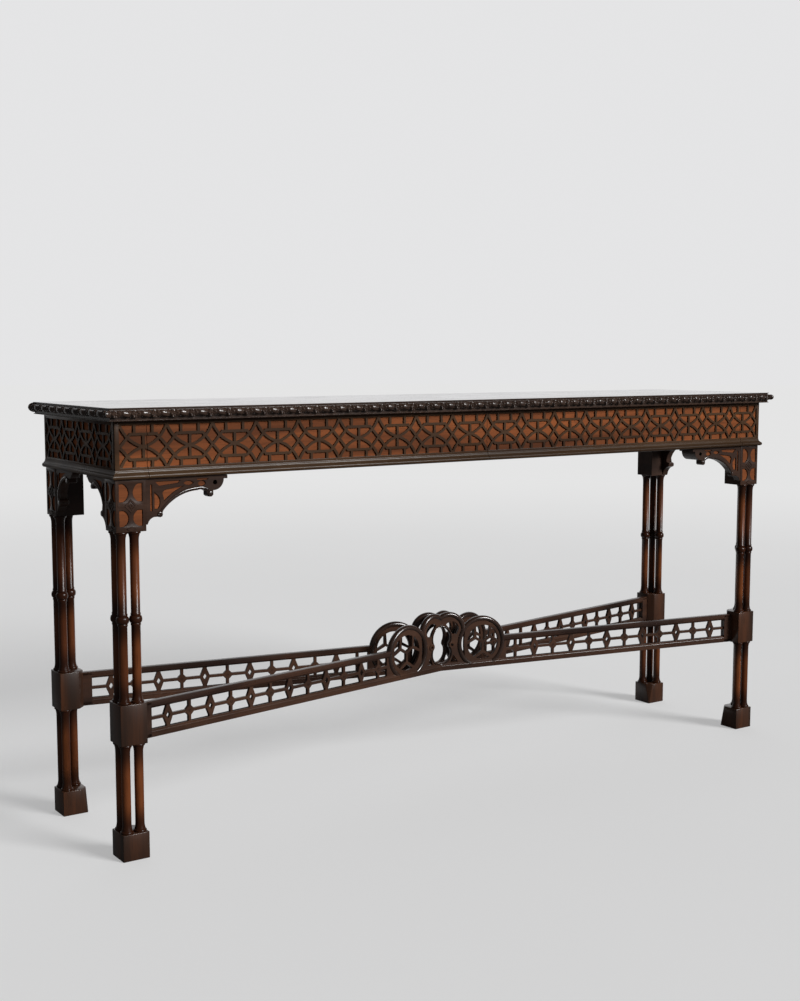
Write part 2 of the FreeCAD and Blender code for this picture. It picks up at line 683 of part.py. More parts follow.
for place, side in (("left", -1), ("right", 1)):
    fret_side = board(
        "fret_side_" + place,
        ("-frame_length/2" if side < 0 else "frame_length/2 - fret_thickness", FRONT_GROUND, FRET_FOOT),
        ("fret_thickness", "frame_depth - fret_thickness", "frieze_height - bead_height"), keep=False,
    )
    fret_front = board(
        "fret_front_" + place,
        ("-frame_length/2" if side < 0 else POST_FACE, "-frame_depth/2", FRET_FOOT),
        ("frieze_end_width", "fret_thickness", "frieze_height - bead_height"), keep=False,
    )
    group("fret_" + place, [fret_side, fret_front])
    bead_side = moulding(
        "bead_side_" + place, bead_profile(), "frame_depth", "bead_reach", (-side,),
        ("%d*frame_length/2" % side, "0", FRIEZE_FOOT), 90 * side, keep=False,
    )
    bead_front = moulding(
        "bead_front_" + place, bead_profile(), "frieze_end_width", "bead_reach", (side,),
        ("%d*(frame_length - frieze_end_width)/2" % side, "-frame_depth/2", FRIEZE_FOOT), 0, keep=False,
    )
    group("bead_" + place, [bead_side, bead_front])


# Drawers

INNER_X = "drawer_gap/2"
OUTER_X = "(frame_length/2 - frieze_end_width - drawer_gap)"
SIDE_FOOT = "(%s + drawer_lift)" % RUNNER_TOP
BOARD_IN = "(divider_thickness/2 + drawer_side_gap)"
BOARD_OUT = "(frame_length/2 - frieze_end_width - drawer_gap - drawer_side_inset)"
DRAWER_BACK = "(frame_depth/2 - apron_thickness - glue_block - drawer_back_gap)"
FRONT_BACK = "(fret_thickness - frame_depth/2 + front_thickness)"
DRAWER_LENGTH = "(%s - %s)" % (DRAWER_BACK, FRONT_BACK)
SIDE_HEIGHT = "(%s - rail_thickness - drawer_top_gap - %s)" % (FRIEZE_TOP, SIDE_FOOT)


def drawer_board(label, side, inner, outer, y, z, depth, height):
    """A board of a drawer between two distances from the middle of the table."""
    low = inner if side > 0 else "-" + outer
    board(label, (low, y, z), ("%s - %s" % (outer, inner), depth, height))


for place, side in (("left", -1), ("right", 1)):
    name = "drawer_%s_" % place
    drawer_board(
        name + "front", side, INNER_X, OUTER_X, FRONT_GROUND, FRIEZE_FOOT,
        "front_thickness", "frieze_height - drawer_gap",
    )
    drawer_board(
        name + "fret", side, INNER_X, OUTER_X, "-frame_depth/2", FRET_FOOT,
        "fret_thickness", "frieze_height - bead_height - drawer_gap",
    )
    body = new_body(name + "bead", ("%d*%s" % (side, INNER_X), "-frame_depth/2", FRIEZE_FOOT))
    pad(body, draw(body, "YZ_Plane", [bead_profile()]), "%s - %s" % (OUTER_X, INNER_X), back=side < 0)
    thick = "drawer_board"
    inner_face = "(%s + %s)" % (BOARD_IN, thick)
    outer_face = "(%s - %s)" % (BOARD_OUT, thick)
    for which, inner, outer in (("inner", BOARD_IN, inner_face), ("outer", outer_face, BOARD_OUT)):
        drawer_board(
            name + "side_" + which, side, inner, outer, FRONT_BACK, SIDE_FOOT,
            DRAWER_LENGTH, SIDE_HEIGHT,
        )
    drawer_board(
        name + "bottom", side, inner_face, outer_face, FRONT_BACK, SIDE_FOOT + " + drawer_bottom_rise",
        DRAWER_LENGTH, "drawer_bottom_thickness",
    )
    drawer_board(
        name + "back", side, inner_face, outer_face, DRAWER_BACK + " - " + thick,
        SIDE_FOOT + " + drawer_bottom_rise + drawer_bottom_thickness", thick,
        "%s - drawer_bottom_rise - drawer_bottom_thickness" % SIDE_HEIGHT,
    )


# Check every piece, then write it

doc.recompute()
for item in doc.Objects:
    if {"Invalid", "Error"} & set(item.State):
        raise RuntimeError("%s could not be built" % item.Name)
os.makedirs("parts", exist_ok=True)
for piece in subparts:
    if piece.Shape.isNull() or not piece.Shape.isValid():
        raise RuntimeError("%s has no valid shape" % piece.Label)
    piece.Shape.exportStep("parts/%s.step" % piece.Label)
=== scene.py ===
import logging
import math
from dataclasses import dataclass, field
from enum import Enum, IntEnum
from functools import cache, reduce

import bmesh
import bpy
from mathutils import Matrix, Vector
from mathutils.geometry import tessellate_polygon


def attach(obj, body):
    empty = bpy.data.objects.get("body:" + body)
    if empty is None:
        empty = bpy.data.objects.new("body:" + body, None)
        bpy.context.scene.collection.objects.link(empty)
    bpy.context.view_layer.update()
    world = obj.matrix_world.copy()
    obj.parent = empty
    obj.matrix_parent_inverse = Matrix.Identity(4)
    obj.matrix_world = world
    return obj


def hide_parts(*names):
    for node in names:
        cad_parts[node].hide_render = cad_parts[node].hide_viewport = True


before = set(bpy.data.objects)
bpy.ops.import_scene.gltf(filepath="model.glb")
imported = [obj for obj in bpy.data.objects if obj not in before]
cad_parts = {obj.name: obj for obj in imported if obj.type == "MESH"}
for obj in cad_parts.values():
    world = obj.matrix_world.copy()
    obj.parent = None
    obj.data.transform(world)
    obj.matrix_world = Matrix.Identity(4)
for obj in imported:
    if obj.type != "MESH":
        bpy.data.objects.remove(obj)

LOG = logging.getLogger("pier_table")
MM = 0.001

Point = tuple[float, float]
Colour = tuple[float, float, float]
Place = tuple[float, float, float]
Socket = bpy.types.NodeSocket


# ------------------------------------------------------------- node trees


class Tree:
    """A node tree in the making."""

    def __init__(self, tree: bpy.types.NodeTree) -> None:
        """Start on an empty tree."""
        self.tree = tree
        tree.nodes.clear()

    def link(self, source: Socket, target: Socket) -> None:
        """Join two sockets."""
        self.tree.links.new(source, target)

    def feed(self, node: bpy.types.Node, values: dict[str | int, object]) -> bpy.types.Node:
        """Set or link a node's inputs.

        Args:
            node: The node.
            values: Input name or number to a plain value or to the socket that feeds it.

        Returns:
            The same node.
        """
        for key, value in values.items():
            if isinstance(value, Socket):
                self.link(value, node.inputs[key])
            else:
                node.inputs[key].default_value = value
        return node

    def add(self, kind: str, values: dict[str | int, object] | None = None, **settings: object) -> bpy.types.Node:
        """Add a node.

        Args:
            kind: The node's type name.
            values: Its inputs, as for feed.
            **settings: Property values.

        Returns:
            The new node.
        """
        node = self.tree.nodes.new(kind)
        for key, value in settings.items():
            setattr(node, key, value)
        return self.feed(node, values or {})

    def make(self, kind: str, values: dict[str | int, object] | None = None, **settings: object) -> Socket:
        """Add a node and return its first output."""
        return self.add(kind, values, **settings).outputs[0]

    def math(self, kind: str, *values: object) -> Socket:
        """A Math node on sockets and numbers."""
        return self.make("ShaderNodeMath", dict(enumerate(values)), operation=kind)

    def spread(
        self, value: object, low: float, high: float, to_low: float, to_high: float, kind: str = "SMOOTHSTEP"
    ) -> Socket:
        """Map a value from one range to another."""
        ranges = dict(enumerate((value, low, high, to_low, to_high)))
        return self.make("ShaderNodeMapRange", ranges, interpolation_type=kind)


class Shader(Tree):
    """A node material in the making."""

    def __init__(self, name: str) -> None:
        """Start an empty material.

        Args:
            name: The material's name.
        """
        self.material = bpy.data.materials.new(name)
        self.material.use_nodes = True
        super().__init__(self.material.node_tree)
        self.surface = self.add("ShaderNodeBsdfPrincipled")
        self.output = self.add("ShaderNodeOutputMaterial", {"Surface": self.surface.outputs["BSDF"]})
        self.at = self.add("ShaderNodeTexCoord").outputs["Object"]

    def noise(self, stretch: Colour, scale: float, detail: float) -> Socket:
        """Noise on object coordinates; a small stretch along an axis draws it out."""
        spot = self.make("ShaderNodeMapping", {"Vector": self.at, "Scale": stretch})
        return self.make("ShaderNodeTexNoise", {"Vector": spot, "Scale": scale, "Detail": detail})

    def blend(self, amount: Socket, first: Socket | Colour, second: Socket | Colour) -> Socket:
        """Mix two colours.

        Args:
            amount: Share of the second one.
            first: The first colour.
            second: The second colour.

        Returns:
            The mixed colour.
        """
        colours = [colour if isinstance(colour, Socket) else (*colour, 1.0) for colour in (first, second)]
        node = self.add("ShaderNodeMix", {0: amount}, data_type="RGBA", blend_type="MIX")
        return self.feed(node, {6: colours[0], 7: colours[1]}).outputs[2]


# ---------------------------------------------------------------- finishes


class Grain(Enum):
    """Direction that a board's grain runs in."""

    ALONG_X = 0
    ALONG_Y = 1
    ALONG_Z = 2

    def stretch(self, across: float, along: float) -> Colour:
        """Factors that draw a pattern out along the grain."""
        return tuple(along if axis == self.value else across for axis in range(3))


@dataclass(frozen=True)
class Pattern:
    """A darker pattern in the wood.

    Attributes:
        across: How much it is drawn together across the grain.
        along: The same along the grain.
        scale: Lumps per metre before that.
        detail: Octaves of the noise.
        low: Noise at which it starts.
        high: Noise at which it is full.
        share: Its strength there.
    """

    across: float
    along: float
    scale: float
    detail: float
    low: float
    high: float
    share: float


FIGURE = Pattern(14.0, 0.9, 1.6, 4.0, 0.32, 0.72, 1.0)
PORES = Pattern(90.0, 4.0, 6.0, 3.0, 0.5, 0.75, 0.55)
PATCHES = Pattern(1.0, 1.0, 9.0, 2.0, 0.35, 0.75, 0.35)
PORE_DEPTH = 0.0006
PORE_STRENGTH = 0.12
COAT_ROUGHNESS = 0.12


@dataclass(frozen=True)
class WoodFinish:
    """A stained and polished wood.

    Attributes:
        name: Material name.
        light: Colour of the clear wood.
        dark: Colour of its pores and of the polish that has gathered.
        roughness: Lowest and highest roughness.
        coat: Strength of the polish.
        gloss: Specular level of the wood below the polish.
        grain: Direction of the grain.
        rings: Heights at which the colour is darkened, for turned work: painted shade at the column ends under the
            capital and against the block and foot, and a darker band round the turned ring.
        ring_shade_reach: Distance from those heights over which the painted shade clears.
        ring_shade_share: How dark the painted shade is at them.
    """

    name: str
    light: Colour
    dark: Colour
    roughness: Point
    coat: float = 0.2
    gloss: float = 0.2
    grain: Grain = Grain.ALONG_X
    rings: tuple[float, ...] = ()
    ring_shade_reach: float = 0.062
    ring_shade_share: float = 0.86

    def ringed(self, work: Shader, colour: Socket) -> Socket:
        """Darken a colour near the rings: painted shade at the column ends under the capital and against the block and
        foot, and a darker band round the turned ring.

        Args:
            work: The material.
            colour: The colour between them.

        Returns:
            The new colour.
        """
        # Painted shade: the colour darkens towards each listed height.
        height = work.add("ShaderNodeSeparateXYZ", {0: work.at}).outputs[2]
        away = [work.math("ABSOLUTE", work.math("SUBTRACT", height, level)) for level in self.rings]
        near = [work.spread(value, 0.25 * self.ring_shade_reach, self.ring_shade_reach, self.ring_shade_share, 0.0) for value in away]
        share = reduce(lambda one, two: work.math("MAXIMUM", one, two), near)
        return work.blend(share, colour, tuple(0.3 * value for value in self.dark))

    def build(self) -> bpy.types.Material:
        """Make the material.

        Returns:
            The material, ready to be assigned.
        """
        work = Shader(self.name)
        colour, noises = self.light, []
        for mark in (FIGURE, PORES, PATCHES):
            noises.append(work.noise(self.grain.stretch(mark.across, mark.along), mark.scale, mark.detail))
            colour = work.blend(work.spread(noises[-1], mark.low, mark.high, 0.0, mark.share), colour, self.dark)
        _, pores, patches = noises
        if self.rings:
            colour = self.ringed(work, colour)
        work.feed(work.surface, {
            "Base Color": colour,
            "Roughness": work.spread(patches, 0.3, 0.7, *self.roughness),
            "Normal": work.make(
                "ShaderNodeBump", {"Height": pores, "Strength": PORE_STRENGTH, "Distance": PORE_DEPTH}
            ),
            "Coat Weight": self.coat,
            "Coat Roughness": COAT_ROUGHNESS,
            "Specular IOR Level": self.gloss,
        })
        return work.material


PINE_TONES = ((0.36, 0.22, 0.12), (0.17, 0.09, 0.045), (0.5, 0.7), 0.0)
OAK_TONES = ((0.48, 0.33, 0.19), (0.26, 0.16, 0.085), (0.45, 0.65), 0.0)


class Wood(Enum):
    """Every finish of the table."""

    TOP = WoodFinish("polished_top_wood", (0.060, 0.024, 0.012), (0.024, 0.010, 0.006), (0.05, 0.11), 0.4, 0.5)
    EDGE = WoodFinish("carved_edge_wood", (0.062, 0.036, 0.025), (0.020, 0.011, 0.008), (0.2, 0.3), 0.15, 0.45)
    FRET = WoodFinish("fret_wood", (0.088, 0.046, 0.023), (0.036, 0.018, 0.010), (0.3, 0.44), 0.03, 0.12)
    GROUND = WoodFinish("fret_ground_wood", (0.32, 0.096, 0.031), (0.080, 0.028, 0.013), (0.45, 0.6), 0.0, 0.06)
    BEAD = WoodFinish("bead_wood", (0.076, 0.042, 0.021), (0.032, 0.017, 0.009), (0.26, 0.38), 0.06, 0.15)
    BLOCK = WoodFinish(
        "block_wood", (0.085, 0.031, 0.014), (0.022, 0.012, 0.008), (0.26, 0.4), gloss=0.3, grain=Grain.ALONG_Z
    )
    # Near-black painted shade for the side walls of strips and openings, which stand in shadow.
    RECESS = WoodFinish("recess_wood", (0.016, 0.010, 0.008), (0.008, 0.005, 0.004), (0.5, 0.7), 0.0, 0.05)
    ARCH = WoodFinish("arch_moulding_wood", (0.050, 0.026, 0.018), (0.018, 0.010, 0.007), (0.16, 0.26), 0.5, 0.5)
    COLUMN = WoodFinish(
        "column_wood", (0.22, 0.064, 0.018), (0.055, 0.016, 0.007), (0.24, 0.36), 0.1, 0.22, Grain.ALONG_Z,
        # Painted shade at the foot, the block's underside and top, the ring and the capital.
        rings=(0.053, 0.228, 0.308, 0.471, 0.640),
    )
    STRETCHER = WoodFinish("stretcher_wood", (0.070, 0.031, 0.018), (0.022, 0.011, 0.008), (0.24, 0.36), gloss=0.3)
    CARCASE = WoodFinish("stained_carcase_wood", (0.062, 0.031, 0.020), (0.024, 0.012, 0.008), (0.28, 0.42))
    FRONT = WoodFinish("drawer_front_wood", (0.16, 0.062, 0.028), (0.06, 0.024, 0.012), (0.32, 0.5))
    WEB = WoodFinish("pierced_field_wood", (0.082, 0.038, 0.022), (0.034, 0.016, 0.010), (0.28, 0.42), 0.25)
    INNER = WoodFinish("inner_wood", *PINE_TONES)
    INNER_CROSS = WoodFinish("inner_wood_cross", *PINE_TONES, grain=Grain.ALONG_Y)
    OAK = WoodFinish("drawer_oak", *OAK_TONES)
    OAK_CROSS = WoodFinish("drawer_oak_cross", *OAK_TONES, grain=Grain.ALONG_Y)

    @cache
    def material(self) -> bpy.types.Material:
        """Return the finish as a material, made when it is first asked for."""
        return self.value.build()


class Slot(Enum):
    """The record's material slots, named when a dressed piece is finished."""

    DARK = "dark_mahogany"
    FRET = "fret_mahogany"
    COLUMN = "column_mahogany"


# ------------------------------------------------------------ setting out


@dataclass(frozen=True)
class Plane:
    """A flat place on the table, on which shapes are set out in millimetres.

    Attributes:
        origin: Its origin, in millimetres.
        across: Direction of the first measure.
        up: Direction of the second measure; the third, outwards, follows from the two.
    """

    origin: Place
    across: Place
    up: Place = (0.0, 0.0, 1.0)

    def matrix(self) -> Matrix:
        """Set the plane out on the table.

        Returns:
            The matrix from millimetres on the plane to metres on the table.
        """
        across, up = Vector(self.across), Vector(self.up)
        turn = Matrix((across, up, across.cross(up))).transposed() * MM
        return Matrix.Translation(Vector(self.origin) * MM) @ turn.to_4x4()


class Facing(Enum):
    """The way that an outer face of the table looks: direction across the face, seen from outside."""

    FRONT = (1.0, 0.0, 0.0)
    BACK = (-1.0, 0.0, 0.0)
    LEFT = (0.0, -1.0, 0.0)
    RIGHT = (0.0, 1.0, 0.0)

    def plane(self, x: float, y: float, z: float = 0.0) -> Plane:
        """Return the upright plane through a point that looks this way."""
        return Plane((x, y, z), self.value)


class Side(IntEnum):
    """Left or right of the table's middle, as the sign of X."""

    LEFT = -1
    RIGHT = 1

    @property
    def facing(self) -> Facing:
        """The way that the outer face on this side looks."""
        return Facing[self.name]


class End(IntEnum):
    """Front or rear of the table's middle, as the sign of Y."""

    FRONT = -1
    REAR = 1


def ordered(one: float, two: float) -> Point:
    """The two values, the lower one first."""
    return (min(one, two), max(one, two))


def polar(radius: float, degrees: float, centre: Point) -> Point:
    """Point at a distance and a direction from another."""
    turn = math.radians(degrees)
    return (centre[0] + radius * math.cos(turn), centre[1] + radius * math.sin(turn))


def arc(start: Point, middle: Point, stop: Point, chord: float) -> list[Point]:
    """Points on the circle through three points, without the first.

    Args:
        start: First point.
        middle: Any point between.
        stop: Last point.
        chord: Longest step between two points.

    Returns:
        The points after the start.
    """
    (ax, ay), (bx, by), (cx, cy) = start, middle, stop
    d = 2 * (ax * (by - cy) + bx * (cy - ay) + cx * (ay - by))
    a, b, c = ax * ax + ay * ay, bx * bx + by * by, cx * cx + cy * cy
    centre = ((a * (by - cy) + b * (cy - ay) + c * (ay - by)) / d, (a * (cx - bx) + b * (ax - cx) + c * (bx - ax)) / d)
    first, mid, last = (math.atan2(y - centre[1], x - centre[0]) for x, y in (start, middle, stop))
    sweep, half = (last - first) % math.tau, (mid - first) % math.tau
    if half > sweep:
        sweep -= math.tau
    radius = math.dist(centre, start)
    count = max(3, math.ceil(abs(sweep) * radius / chord), math.ceil(abs(sweep) / 0.35))
    turns = [first + sweep * step / count for step in range(1, count + 1)]
    return [(centre[0] + radius * math.cos(turn), centre[1] + radius * math.sin(turn)) for turn in turns]


def trace(start: Point, *steps: Point | tuple[Point, Point], chord: float = 3.0) -> list[Point]:
    """Points along straight lines and arcs.

    Args:
        start: First point.
        *steps: The end of a line, or a point on an arc and its end.
        chord: Longest step on an arc.

    Returns:
        The points; the last is left out where it closes the shape.
    """
    points = [start]
    for step in steps:
        points += arc(points[-1], step[0], step[1], chord) if isinstance(step[0], tuple) else [step]
    if math.dist(points[0], points[-1]) < 1e-6:
        points.pop()
    return points


def rectangle(left: float, low: float, right: float, high: float) -> list[Point]:
    """Corners of a rectangle, anticlockwise."""
    return [(left, low), (right, low), (right, high), (left, high)]


def lozenge(centre: Point, wide: float, tall: float) -> list[Point]:
    """Corners of a lozenge, from its left one."""
    x, y = centre
    return [(x - wide, y), (x, y - tall), (x + wide, y), (x, y + tall)]


def circle(centre: Point, radius: float, sides: int) -> list[Point]:
    """Points of a circle, anticlockwise."""
    return [polar(radius, 360 * step / sides, centre) for step in range(sides)]


def meeting(one: Point, radius_one: float, two: Point, radius_two: float) -> Point:
    """Upper meeting point of two circles.

    Args:
        one: Middle of the first circle.
        radius_one: Its radius.
        two: Middle of the second circle.
        radius_two: Its radius.

    Returns:
        The meeting point.
    """
    apart = math.dist(one, two)
    along = (radius_one**2 - radius_two**2 + apart**2) / (2 * apart)
    rise = math.sqrt(radius_one**2 - along**2)
    unit = ((two[0] - one[0]) / apart, (two[1] - one[1]) / apart)
    foot = (one[0] + along * unit[0], one[1] + along * unit[1])
    both = [(foot[0] + way * rise * unit[1], foot[1] - way * rise * unit[0]) for way in (-1, 1)]
    return max(both, key=lambda spot: spot[1])


def wound(points: list[Point], anticlockwise: bool) -> list[Point]:
    """The points in the given direction of travel."""
    doubled = sum(x1 * y2 - x2 * y1 for (x1, y1), (x2, y2) in zip(points, points[1:] + points[:1]))
    return list(points) if (doubled > 0) == anticlockwise else list(reversed(points))


def inset(points: list[Point], distance: float) -> list[Point]:
    """The closed line moved to its left.

    Args:
        points: The line's corners.
        distance: How far it moves.

    Returns:
        The moved corners.
    """
    result = []
    for index, (x, y) in enumerate(points):
        before, after = points[index - 1], points[(index + 1) % len(points)]
        one = Vector((before[1] - y, x - before[0])).normalized()
        two = Vector((y - after[1], after[0] - x)).normalized()
        move = (one + two) * (distance / max(1 + one.dot(two), 0.4))
        result.append((x + move.x, y + move.y))
    return result


def eased_front(back: float, front: float, ease: float) -> list[Point]:
    """Shape of a square edge between two heights, eased at the front."""
    return [(0.0, back), (0.0, front - ease), (0.3 * ease, front - 0.3 * ease), (ease, front)]


def eased_both(half: float, ease: float) -> list[Point]:
    """Shape of a square edge as far behind the plane as before it, eased on both sides."""
    return [(ease, -half), (0.0, ease - half), (0.0, half - ease), (ease, half)]


# ------------------------------------------------------ meshes in the making


class Bench:
    """A piece on the bench: its mesh in the making, in metres."""

    def __init__(self) -> None:
        """Start with nothing on the bench."""
        self.bm = bmesh.new()

    def walls(self, low: list[bmesh.types.BMVert], high: list[bmesh.types.BMVert], finish: int) -> None:
        """Join two closed rows of vertices by faces.

        Args:
            low: The first row.
            high: The second row, as long as the first.
            finish: Number of the finish.
        """
        for index in range(len(low)):
            after = (index + 1) % len(low)
            self.bm.faces.new((low[index], low[after], high[after], high[index])).material_index = finish

    def cap(self, loops: list[list[bmesh.types.BMVert]], flat: list[list[Point]], finish: int, flip: bool) -> None:
        """Close a flat end that may have holes.

        Args:
            loops: The vertices of each loop, the outer one first.
            flat: The same loops as points on the plane.
            finish: Number of the finish.
            flip: Whether the face looks back instead of out.
        """
        verts = [vert for loop in loops for vert in loop]
        spots = [spot for loop in flat for spot in loop]
        for triangle in tessellate_polygon([[Vector((*spot, 0.0)) for spot in loop] for loop in flat]):
            (ax, ay), (bx, by), (cx, cy) = (spots[corner] for corner in triangle)
            turn = (bx - ax) * (cy - ay) - (cx - ax) * (by - ay)
            order = triangle if (turn > 0) != flip else tuple(reversed(triangle))
            if abs(turn) > 1e-9:
                self.bm.faces.new([verts[corner] for corner in order]).material_index = finish

    def plate(
        self, plane: Plane, outer: list[Point], holes: list[list[Point]], edge: list[Point],
        hole_edge: list[Point] | None = None, finish: int = 0, face_finish: int | None = None,
        hole_finish: int | None = None,
    ) -> None:
        """A flat pierced piece whose edges are shaped.

        Args:
            plane: Where it is set out.
            outer: Its outline.
            holes: Its openings.
            edge: The shape of its outer edge from the back to the front, each as how far in and how far out.
            hole_edge: The same for its openings, if different.
            finish: Number of the finish.
            face_finish: Number of the finish of its front, if different.
            hole_finish: The same for the walls of its openings.
        """
        matrix = plane.matrix()
        hole_wall = finish if hole_finish is None else hole_finish
        fronts, backs = [], []
        for loop, shape, wall in [(wound(outer, True), edge, finish)] + [
            (wound(hole, False), hole_edge or edge, hole_wall) for hole in holes
        ]:
            flats = [inset(loop, inwards) for inwards, _ in shape]
            rows = [
                [self.bm.verts.new(matrix @ Vector((*spot, out))) for spot in flat]
                for flat, (_, out) in zip(flats, shape)
            ]
            for low, high in zip(rows, rows[1:]):
                self.walls(low, high, wall)
            backs.append((rows[0], flats[0]))
            fronts.append((rows[-1], flats[-1]))
        front = finish if face_finish is None else face_finish
        for ends, number, flip in ((backs, finish, True), (fronts, front, False)):
            self.cap([verts for verts, _ in ends], [flat for _, flat in ends], number, flip)

    def bar(self, plane: Plane, corners: tuple[float, float, float, float], edge: list[Point], finish: int = 0) -> None:
        """A flat rectangular piece, given by its left, low, right and high sides."""
        self.plate(plane, rectangle(*corners), [], edge, finish=finish)

    def moulding(
        self, plane: Plane, profile: list[Point], span: Point, mitres: Point = (0.0, 0.0), finish: int = 0
    ) -> None:
        """A straight moulding.

        Args:
            plane: Where it is set out; it runs across, and its profile is in the plane of up and out.
            profile: The closed profile, each point as how far out and how far up.
            span: Where it starts and ends at the wall.
            mitres: How much longer each end gets for each millimetre out.
            finish: Number of the finish.
        """
        matrix = plane.matrix()
        ends = [
            [self.bm.verts.new(matrix @ Vector((at + way * mitre * out, up, out))) for out, up in profile]
            for at, mitre, way in zip(span, mitres, (-1, 1))
        ]
        self.walls(ends[0], ends[1], finish)
        self.cap([ends[0]], [profile], finish, False)
        self.cap([ends[1]], [profile], finish, True)

    def add(self, mesh: bpy.types.Mesh, plane: Plane | None = None, finish: int = 0, wall: int | None = None) -> None:
        """Put a finished mesh on the bench and use it up.

        Args:
            mesh: The mesh.
            plane: Where it was set out, in millimetres; none if it is in metres already.
            finish: Number of the finish.
            wall: The same for the faces that don't look outwards, if different.
        """
        plain = finish if wall is None else wall
        numbers = [finish if side.normal.z > 0.5 else plain for side in mesh.polygons]
        mesh.polygons.foreach_set("material_index", numbers)
        if plane is not None:
            mesh.transform(plane.matrix())
        self.bm.from_mesh(mesh)
        bpy.data.meshes.remove(mesh)

    def mesh(self, name: str) -> bpy.types.Mesh:
        """Take the mesh off the bench.

        Args:
            name: Name of the mesh.

        Returns:
            The mesh.
        """
        mesh = bpy.data.meshes.new(name)
        self.bm.to_mesh(mesh)
        self.bm.free()
        return mesh

    def take(self, other: "Bench") -> None:
        """Put another piece on the bench with this one.

        Args:
            other: The other piece, which is used up.
        """
        joined = other.mesh("joined")
        self.bm.from_mesh(joined)
        bpy.data.meshes.remove(joined)

    def fill(self, edges: list[bmesh.types.BMEdge]) -> None:
        """Close the openings that some edges surround."""
        bmesh.ops.holes_fill(self.bm, edges=edges, sides=0)

    def saw(self, point: Place, away: Place) -> None:
        """Saw off everything beyond a plane and close the cut.

        Args:
            point: A point on the plane, in millimetres.
            away: Direction of what is sawn off.
        """
        geometry = [*self.bm.verts, *self.bm.edges, *self.bm.faces]
        cut = bmesh.ops.bisect_plane(
            self.bm, geom=geometry, dist=1e-7, plane_co=Vector(point) * MM, plane_no=Vector(away), clear_outer=True
        )
        self.fill([item for item in cut["geom_cut"] if isinstance(item, bmesh.types.BMEdge) and item.is_boundary])

    def finish(
        self, name: str, stands_for: str, slot: Slot, woods: list[Wood], body: str = "frame", smooth: float = 32.0
    ) -> None:
        """Take the piece off the bench and fit it to the table.

        Args:
            name: Name of the piece.
            stands_for: The solid that it is shown instead of.
            slot: The record's material slot; not used.
            woods: Its finishes, by number.
            body: Body that it moves with.
            smooth: Degrees up to which two faces are shaded as one.
        """
        bmesh.ops.recalc_face_normals(self.bm, faces=self.bm.faces)
        mesh = self.mesh(name)
        mesh.shade_smooth()
        mesh.set_sharp_from_angle(angle=math.radians(smooth))
        for wood in woods:
            mesh.materials.append(wood.material())
        piece = bpy.data.objects.new(name, mesh)
        bpy.context.scene.collection.objects.link(piece)
        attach(piece, body)
        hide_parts(stands_for)
        LOG.info("%s: %d faces, moves with %s", name, len(mesh.polygons), body)


def softened(node: str, edge: float) -> bpy.types.Mesh:
    """A copy of a solid whose sharp edges are eased.

    Args:
        node: The solid.
        edge: Width of the easing, in millimetres.

    Returns:
        The copy, in metres.
    """
    copy = Bench()
    bm = copy.bm
    bm.from_mesh(bpy.data.objects[node].data)
    bmesh.ops.remove_doubles(bm, verts=bm.verts, dist=1e-6)
    bmesh.ops.dissolve_limit(bm, angle_limit=math.radians(1.0), verts=bm.verts, edges=bm.edges)
    sharp = [item for item in bm.edges if len(item.link_faces) == 2 and item.calc_face_angle() > math.radians(20)]
    bmesh.ops.bevel(bm, geom=sharp, offset=edge * MM, segments=2, profile=0.5, affect="EDGES", clamp_overlap=True)
    return copy.mesh(node + "_copy")


# ------------------------------------------------------------ node machines


